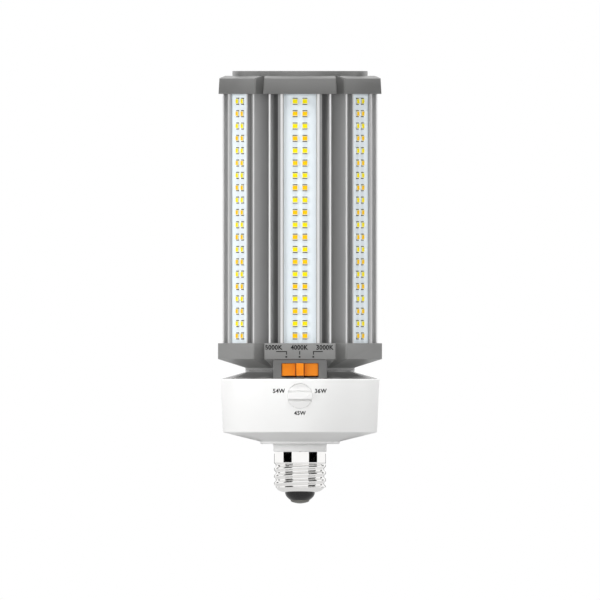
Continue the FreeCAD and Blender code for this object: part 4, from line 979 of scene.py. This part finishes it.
knob = turned("bar_knob", [(KNOB_RADIUS, -KNOB_BACK_Y), (KNOB_RADIUS, -KNOB_FACE_Y)])
knob.data.transform(Matrix.Translation((0, 0, KNOB_Z * MM)) @ FACE_TURN)
soften(knob, 0.25, 3)
bar = block("bar", (-KNOB_RADIUS - 1, BAR_TOP_Y, KNOB_Z - BAR_HALF),
            (KNOB_RADIUS + 1, KNOB_FACE_Y + 1, KNOB_Z + BAR_HALF))
soften(bar, 0.15, 2)
combine(bar, rod("bar_ends", KNOB_RADIUS - 0.15, CUT_FROM_Y, CUT_TO_Y, "Y", KNOB_Z, 128), "INTERSECT")
combine(knob, bar, "UNION")
for side in (-1, 1):
    foot_z = KNOB_Z + side * BAR_FOOT
    combine(knob, block("bar_groove", (-KNOB_RADIUS, KNOB_FACE_Y - 0.5, foot_z - GROOVE / 2),
                        (KNOB_RADIUS, KNOB_FACE_Y + GROOVE_DEPTH, foot_z + GROOVE / 2)))
pip = block("pip", (PIP_FROM, BAR_TOP_Y - 0.17, KNOB_Z - PIP_HALF),
            (PIP_TO, BAR_TOP_Y + 0.5, KNOB_Z + PIP_HALF))
combine(knob, soften(pip, 0.1, 2), "UNION")
smooth(knob, 30)
dress(knob, KNOB_PC, KNOB_GROOVE_SHADED_PC)
# The faces in the knob's two grooves get the greyer plastic: painted shade.
pick(knob, in_groove)
place_on(paint_chosen(knob, 1), "watt_knob", "white_plastic", "watt_knob")

# %% [markdown]
# ## Colour switch
# An orange plate fills the window and an orange grip slides across it. Both are boxes with rounded
# edges. Two grooves are cut down the grip's face, and a tongue runs back from its foot, through the
# slot below the plate, to the switch.

# %% Track and slider
PLATE_FACE_Y, PLATE_BACK_Y = -36.2, -34.0
TONGUE_Z, TONGUE_TOP_Z = WINDOW_Z + 0.15, WINDOW_Z + 0.65
TONGUE_HALF = 1.5
GRIP_HALF, GRIP_BACK_Y = 2.55, -36.3
GRIP_FACE_Y = size_of("colour_slider")[0].y
RIB_GROOVES = (-2.15, 2.1)
RIB_HALF, RIB_FLOOR_Y = 0.3, -36.7
track = block("orange_track", (-WINDOW_HALF + 0.1, PLATE_FACE_Y, WINDOW_Z + 0.7),
              (WINDOW_HALF - 0.1, PLATE_BACK_Y, WINDOW_TOP_Z - 0.05))
soften(track, 0.5, 4)
smooth(track)
dress(track, ORANGE_POM)
place_on(track, "lamp", "orange_plastic", "switch_track")

# %% Grip
grip = block("orange_grip", (-GRIP_HALF, GRIP_FACE_Y, WINDOW_Z + 0.75),
             (GRIP_HALF, GRIP_BACK_Y, WINDOW_TOP_Z - 0.1))
soften(grip, 0.35, 3)
combine(grip, block("tongue", (-TONGUE_HALF, -36.5, TONGUE_Z), (TONGUE_HALF, -30.0, TONGUE_TOP_Z)), "UNION")
tongue_root = block("tongue_root", (-TONGUE_HALF, -36.5, TONGUE_Z), (TONGUE_HALF, -36.35, WINDOW_Z + 1.6))
combine(grip, tongue_root, "UNION")
for x in RIB_GROOVES:
    combine(grip, block("rib_groove", (x - RIB_HALF, GRIP_FACE_Y - 1, WINDOW_Z + 0.8),
                        (x + RIB_HALF, RIB_FLOOR_Y, WINDOW_TOP_Z)))
smooth(grip)
dress(grip, ORANGE_POM, BLACK_PA, ORANGE_GROOVE_SHADED_POM)
# The faces in the grip's grooves get the darker orange: painted shade.
pick(grip, lambda middle, normal: GRIP_FACE_Y + 0.1 < middle.y < RIB_FLOOR_Y + 0.1
     and min(abs(middle.x - x) for x in RIB_GROOVES) < RIB_HALF + 0.01)
paint_chosen(grip, 2)
# The tongue that drives the switch gets black nylon as painted shade, which darkens the slot below the
# plate.
pick(grip, lambda middle, normal: middle.z < WINDOW_Z + 0.74)
place_on(paint_chosen(grip, 1), "colour_slider", "orange_plastic", "colour_slider")

# %% [markdown]
# ## Printed scales
# The numbers beside the knob and over the slider are pad-printed. An image could carry them, but a
# mesh stays sharp at any size. Each is a text object, made a mesh, fitted to its measured size and
# laid on the surface with Shrinkwrap, where Solidify gives the ink its film.

# %% Prints
INK_FILM = 0.04
BOLD = 0.03                 # how far the letters' outlines grow, at a letter height of one
LETTER_SPACE = 1.08
PRINT_FROM_Y = -45          # prints start in front of the lamp and are projected back onto it


def laid_on(piece, carrier):
    """Projects a flat print along Y onto its carrier and gives it the thickness of ink."""
    alone(piece)
    wrap = piece.modifiers.new("wrap", "SHRINKWRAP")
    wrap.wrap_method = "PROJECT"
    wrap.use_project_x = wrap.use_project_z = False
    wrap.use_project_y = True
    wrap.use_negative_direction = True
    wrap.use_positive_direction = True
    wrap.target = carrier
    wrap.offset = INK_FILM * MM / 2
    bpy.ops.object.modifier_apply(modifier=wrap.name)
    film = piece.modifiers.new("film", "SOLIDIFY")
    film.thickness = INK_FILM * MM
    film.offset = 0
    bpy.ops.object.modifier_apply(modifier=film.name)
    dress(piece, INK)
    return piece


def words(text, width, height, x, z, carrier):
    """One word, fitted to its width and height on the front."""
    nothing()
    bpy.ops.object.text_add()
    piece = bpy.context.object
    piece.data.body = text
    piece.data.offset = BOLD
    piece.data.space_character = LETTER_SPACE
    bpy.ops.object.convert(target="MESH")
    corners = [Vector(c) for c in piece.bound_box]
    low = Vector([min(c[i] for c in corners) for i in range(3)])
    high = Vector([max(c[i] for c in corners) for i in range(3)])
    middle = (low + high) / 2
    fit = Matrix.Diagonal((width * MM / (high.x - low.x), height * MM / (high.y - low.y), 1, 1))
    place = Matrix.Translation(Vector((x, PRINT_FROM_Y, z)) * MM)
    piece.data.transform(place @ FACE_TURN @ fit @ Matrix.Translation(-middle))
    return laid_on(piece, carrier)


def mark(name, low, high, carrier):
    """A flat printed rectangle between two (x, z) corners."""
    nothing()
    bpy.ops.mesh.primitive_plane_add(size=1)
    piece = bpy.context.object
    size = Matrix.Diagonal(((high[0] - low[0]) * MM, (high[1] - low[1]) * MM, 1, 1))
    middle = Vector(((low[0] + high[0]) / 2, PRINT_FROM_Y, (low[1] + high[1]) / 2)) * MM
    piece.data.transform(Matrix.Translation(middle) @ FACE_TURN @ size)
    piece.name = name
    return laid_on(piece, carrier)


# %% Numbers round the knob
# Each has its text, its width and height, and the place of its middle.
WATTS = (("54W", 6.1, 2.2, -10.6, 30.65), ("36W", 6.0, 2.2, 10.5, 30.65), ("45W", 5.9, 2.1, 0.0, 19.5))
prints = [words(*number, housing) for number in WATTS]
place_on(joined("watt_print", prints), "lamp", "black_plastic")

# %% Scale over the slide
# The outer two pointer lines are bent: a level part from the number and a short part down.
LEVEL_Z = (50.25, 50.7)
DOWN_Z = (48.9, 50.3)
DOT_Z = (47.4, 48.2)
DOT_HALF = 0.45
KELVIN_WIDTH, KELVIN_HEIGHT, KELVIN_Z = 8.7, 2.45, 52.6
POINTERS = (
    ("tick_1", (-12.0, -6.55), LEVEL_Z), ("tick_2", (-7.0, -6.55), DOWN_Z),
    ("tick_3", (-0.4, 0.05), (DOWN_Z[0], LEVEL_Z[1])),
    ("tick_4", (6.55, 11.5), LEVEL_Z), ("tick_5", (6.55, 7.0), DOWN_Z))
prints = [mark(name, (x[0], z[0]), (x[1], z[1]), collar) for name, x, z in POINTERS]
for x in (-6.9, -0.2, 6.7):
    prints.append(mark("dot", (x - DOT_HALF, DOT_Z[0]), (x + DOT_HALF, DOT_Z[1]), collar))
for text, x in (("5000K", -13.2), ("4000K", -0.3), ("3000K", 12.6)):
    prints.append(words(text, KELVIN_WIDTH, KELVIN_HEIGHT, x, KELVIN_Z, collar))
place_on(joined("colour_print", prints), "lamp", "black_plastic")

# %% [markdown]
# ## What stays as the CAD has it
# The boards are plain plates in reality, and the driver's parts are closed away inside. They keep
# their CAD shapes and get their own finishes.

# %% Finishes for the CAD nodes
CARRIED = {
    "collar_screws": ZINC, "lid_screws": ZINC, "board_screws": ZINC,
    "link_board": GREEN_MASK, "driver_board": GREEN_MASK, "selector_board": GREEN_MASK,
    "switch_board": GREEN_MASK, "led_leads": PVC, "line_wire": PVC, "neutral_wire": PVC,
    "switch_leads": PVC, "transformer": FERRITE, "filter_choke": FERRITE,
    "bulk_capacitors": BLACK_PA, "bridge_rectifier": BLACK_PA, "power_transistor": BLACK_PA,
    "rotary_switch": BLACK_PA, "switch_lever": BLACK_PA, "selector_shaft": WHITE_PC,
    "fuse_resistor": EPOXY, "film_capacitor": EPOXY, "slide_switch": STEEL,
}
for number in range(LOBES):
    CARRIED["led_board_%d" % (number + 1)] = WHITE_MASK
for node, material in CARRIED.items():
    dress(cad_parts[node], material)
print("CAD nodes with a finish:", len(CARRIED))

# %% [markdown]
# ## Studio
# A pale floor, a large soft light low on the left, a weaker one on the right, a weak fill from the
# front and a strong one from above. The background is white to the camera and in reflections, and
# dim as a light. Bright metal shows what stands round it, so dark cards beside the camera give the
# thread its black bands, as in a product studio. They are seen in reflections alone.

# %% White background
AMBIENT = 0.06              # how strongly the background lights the lamp


def seen_directly(tree, *more):
    """Gives 1 to camera rays, to glossy rays and to the other kinds named, and 0 to the rest."""
    path = add_node(tree, "ShaderNodeLightPath")
    seen = path.outputs["Is Camera Ray"]
    for kind in ("Is Glossy Ray",) + more:
        seen = add_node(tree, "ShaderNodeMath", {"operation": "MAXIMUM"}, {
            0: seen, 1: path.outputs[kind]}).outputs[0]
    return seen


world = bpy.data.worlds.new("studio")
bpy.context.scene.world = world
world.use_nodes = True
tree = world.node_tree
tree.nodes.clear()
level = add_node(tree, "ShaderNodeMapRange", inputs={
    "Value": seen_directly(tree, "Is Transmission Ray"), "To Min": AMBIENT, "To Max": 1.0}).outputs[0]
light = add_node(tree, "ShaderNodeBackground", inputs={"Color": linear("#FFFFFF"), "Strength": level})
add_node(tree, "ShaderNodeOutputWorld", inputs={"Surface": light.outputs[0]})
print("background as a light:", AMBIENT)

# %% [markdown]
# ### Floor
# A sheet of pale paper that keeps the lamp's shadow. Pure white paper would burn out and a grey one
# would stand off from the background, so part of what the camera and the metals see of it is even
# white, and the rest is lit like any surface.

# %% Floor
EVEN_WHITE = 0.65           # the share that is even white
FLOOR_GAP = 0.2
nothing()
bpy.ops.mesh.primitive_plane_add(size=4, location=(0, 0, cad_box[0].z - FLOOR_GAP * MM))
floor = bpy.context.object
floor.name = "floor"
paper, tree, shader = new_finish("pale_studio_paper", **{
    "Roughness": 0.9, "Base Color": linear("#A4A4A4")})[:3]
glow = add_node(tree, "ShaderNodeEmission", inputs={"Color": linear("#FFFFFF"), "Strength": 1.0})
share = add_node(tree, "ShaderNodeMath", {"operation": "MULTIPLY"}, {
    0: seen_directly(tree), 1: EVEN_WHITE}).outputs[0]
blend = add_node(tree, "ShaderNodeMixShader", inputs={
    0: share, 1: shader.outputs[0], 2: glow.outputs[0]})
surface_out = next(node for node in tree.nodes if node.type == "OUTPUT_MATERIAL")
tree.links.new(blend.outputs[0], surface_out.inputs["Surface"])
dress(floor, paper)
print("floor below the lamp's foot, in mm:", FLOOR_GAP)

# %% [markdown]
# ### Lights
# Four rectangular lamps stand for soft boxes. The left one is about twice as strong as the right
# one, which rounds the white housing, and the one above lights the cones and the crown. None shows
# in a reflection, because its bright rectangle would cut the chrome. Their places are in metres.

# %% Lights
TARGET = Vector((0, 0, 0.08))


def soft_light(name, place, size, power):
    """A rectangular lamp that looks at the middle of the product and isn't seen in reflections."""
    nothing()
    bpy.ops.object.light_add(type="AREA", location=place)
    lamp = bpy.context.object
    lamp.name = name
    lamp.data.shape = "RECTANGLE"
    lamp.data.size, lamp.data.size_y = size
    lamp.data.energy = power
    lamp.rotation_euler = (TARGET - Vector(place)).to_track_quat("-Z", "Y").to_euler()
    lamp.visible_glossy = False
    return lamp


soft_light("left_box", (-1.3, -0.75, 0.25), (0.8, 1.1), 21)
soft_light("right_box", (1.3, -0.72, 0.25), (0.7, 1.0), 11)
soft_light("front_box", (0.4, -1.5, 0.3), (0.8, 0.8), 3)
soft_light("top_box", (0.0, -0.15, 1.3), (0.8, 0.6), 24)
print("lights:", len(bpy.data.lights))

# %% [markdown]
# ### Dark cards
# A studio hangs black felt beside bright metal, because chrome that mirrors white alone vanishes.
# Felt gives back almost no light, also at a low angle, so its finish has no gloss at all.

# %% Dark cards
dark_felt = new_finish("black_card_felt", **{
    "Base Color": linear("#030303"), "Roughness": 1.0, "Specular IOR Level": 0.0})[0]


def dark_card(name, azimuth, distance, z, width, height):
    """A black card that stands at an angle from the front and shows in reflections alone."""
    turn = math.radians(azimuth)
    nothing()
    place = (distance * math.sin(turn), -distance * math.cos(turn), z)
    bpy.ops.mesh.primitive_plane_add(size=1, location=place, rotation=(math.pi / 2, 0, turn))
    card = bpy.context.object
    card.name = name
    card.scale = (width, height, 1)
    dress(card, dark_felt)
    card.visible_camera = card.visible_diffuse = False
    card.visible_shadow = card.visible_transmission = False
    return card


# Two cards stand side by side to the left and two to the right, about 38 to 82 degrees from the
# front. Each pair draws one black band down the thread.
for azimuth in (-68.5, -48.0, 51.0, 72.0):
    dark_card("dark_card_%d" % round(azimuth), azimuth, distance=1.0, z=0.1, width=0.38, height=2.6)
# A low card behind the cap draws the thin dark line round the chrome.
dark_card("dark_card_back", 180, distance=0.07, z=-0.012, width=0.075, height=0.022)
# Two cards behind dim the outer fins, which would else vanish against the white.
for side, azimuth in (("left", -125), ("right", 125)):
    dark_card("dark_card_rear_" + side, azimuth, distance=0.9, z=0.2, width=0.28, height=0.3)

# %% [markdown]
# ## Camera
# The picture was taken from far away at the lamp's own height, so the camera is orthographic and
# level. One of its pixels is 0.504 mm wide, which the width of the thread gives.

# %% Camera
PIXEL = 0.504
IMAGE = 600
AXIS_PIXEL = 300.0          # the column of x = 0, the lamp's axis
RIM_PIXEL = 451.7           # the row of z = 0, the rim of the cap
CAMERA_Y = -1000
centre = Vector(((IMAGE / 2 - AXIS_PIXEL) * PIXEL, CAMERA_Y, (RIM_PIXEL - IMAGE / 2) * PIXEL)) * MM
nothing()
bpy.ops.object.camera_add(location=centre, rotation=(math.pi / 2, 0, 0))
camera = bpy.context.object
camera.data.type = "ORTHO"
camera.data.ortho_scale = IMAGE * PIXEL * MM
bpy.context.scene.camera = camera
bpy.context.scene.view_settings.view_transform = "Standard"
print("image width in mm:", IMAGE * PIXEL)
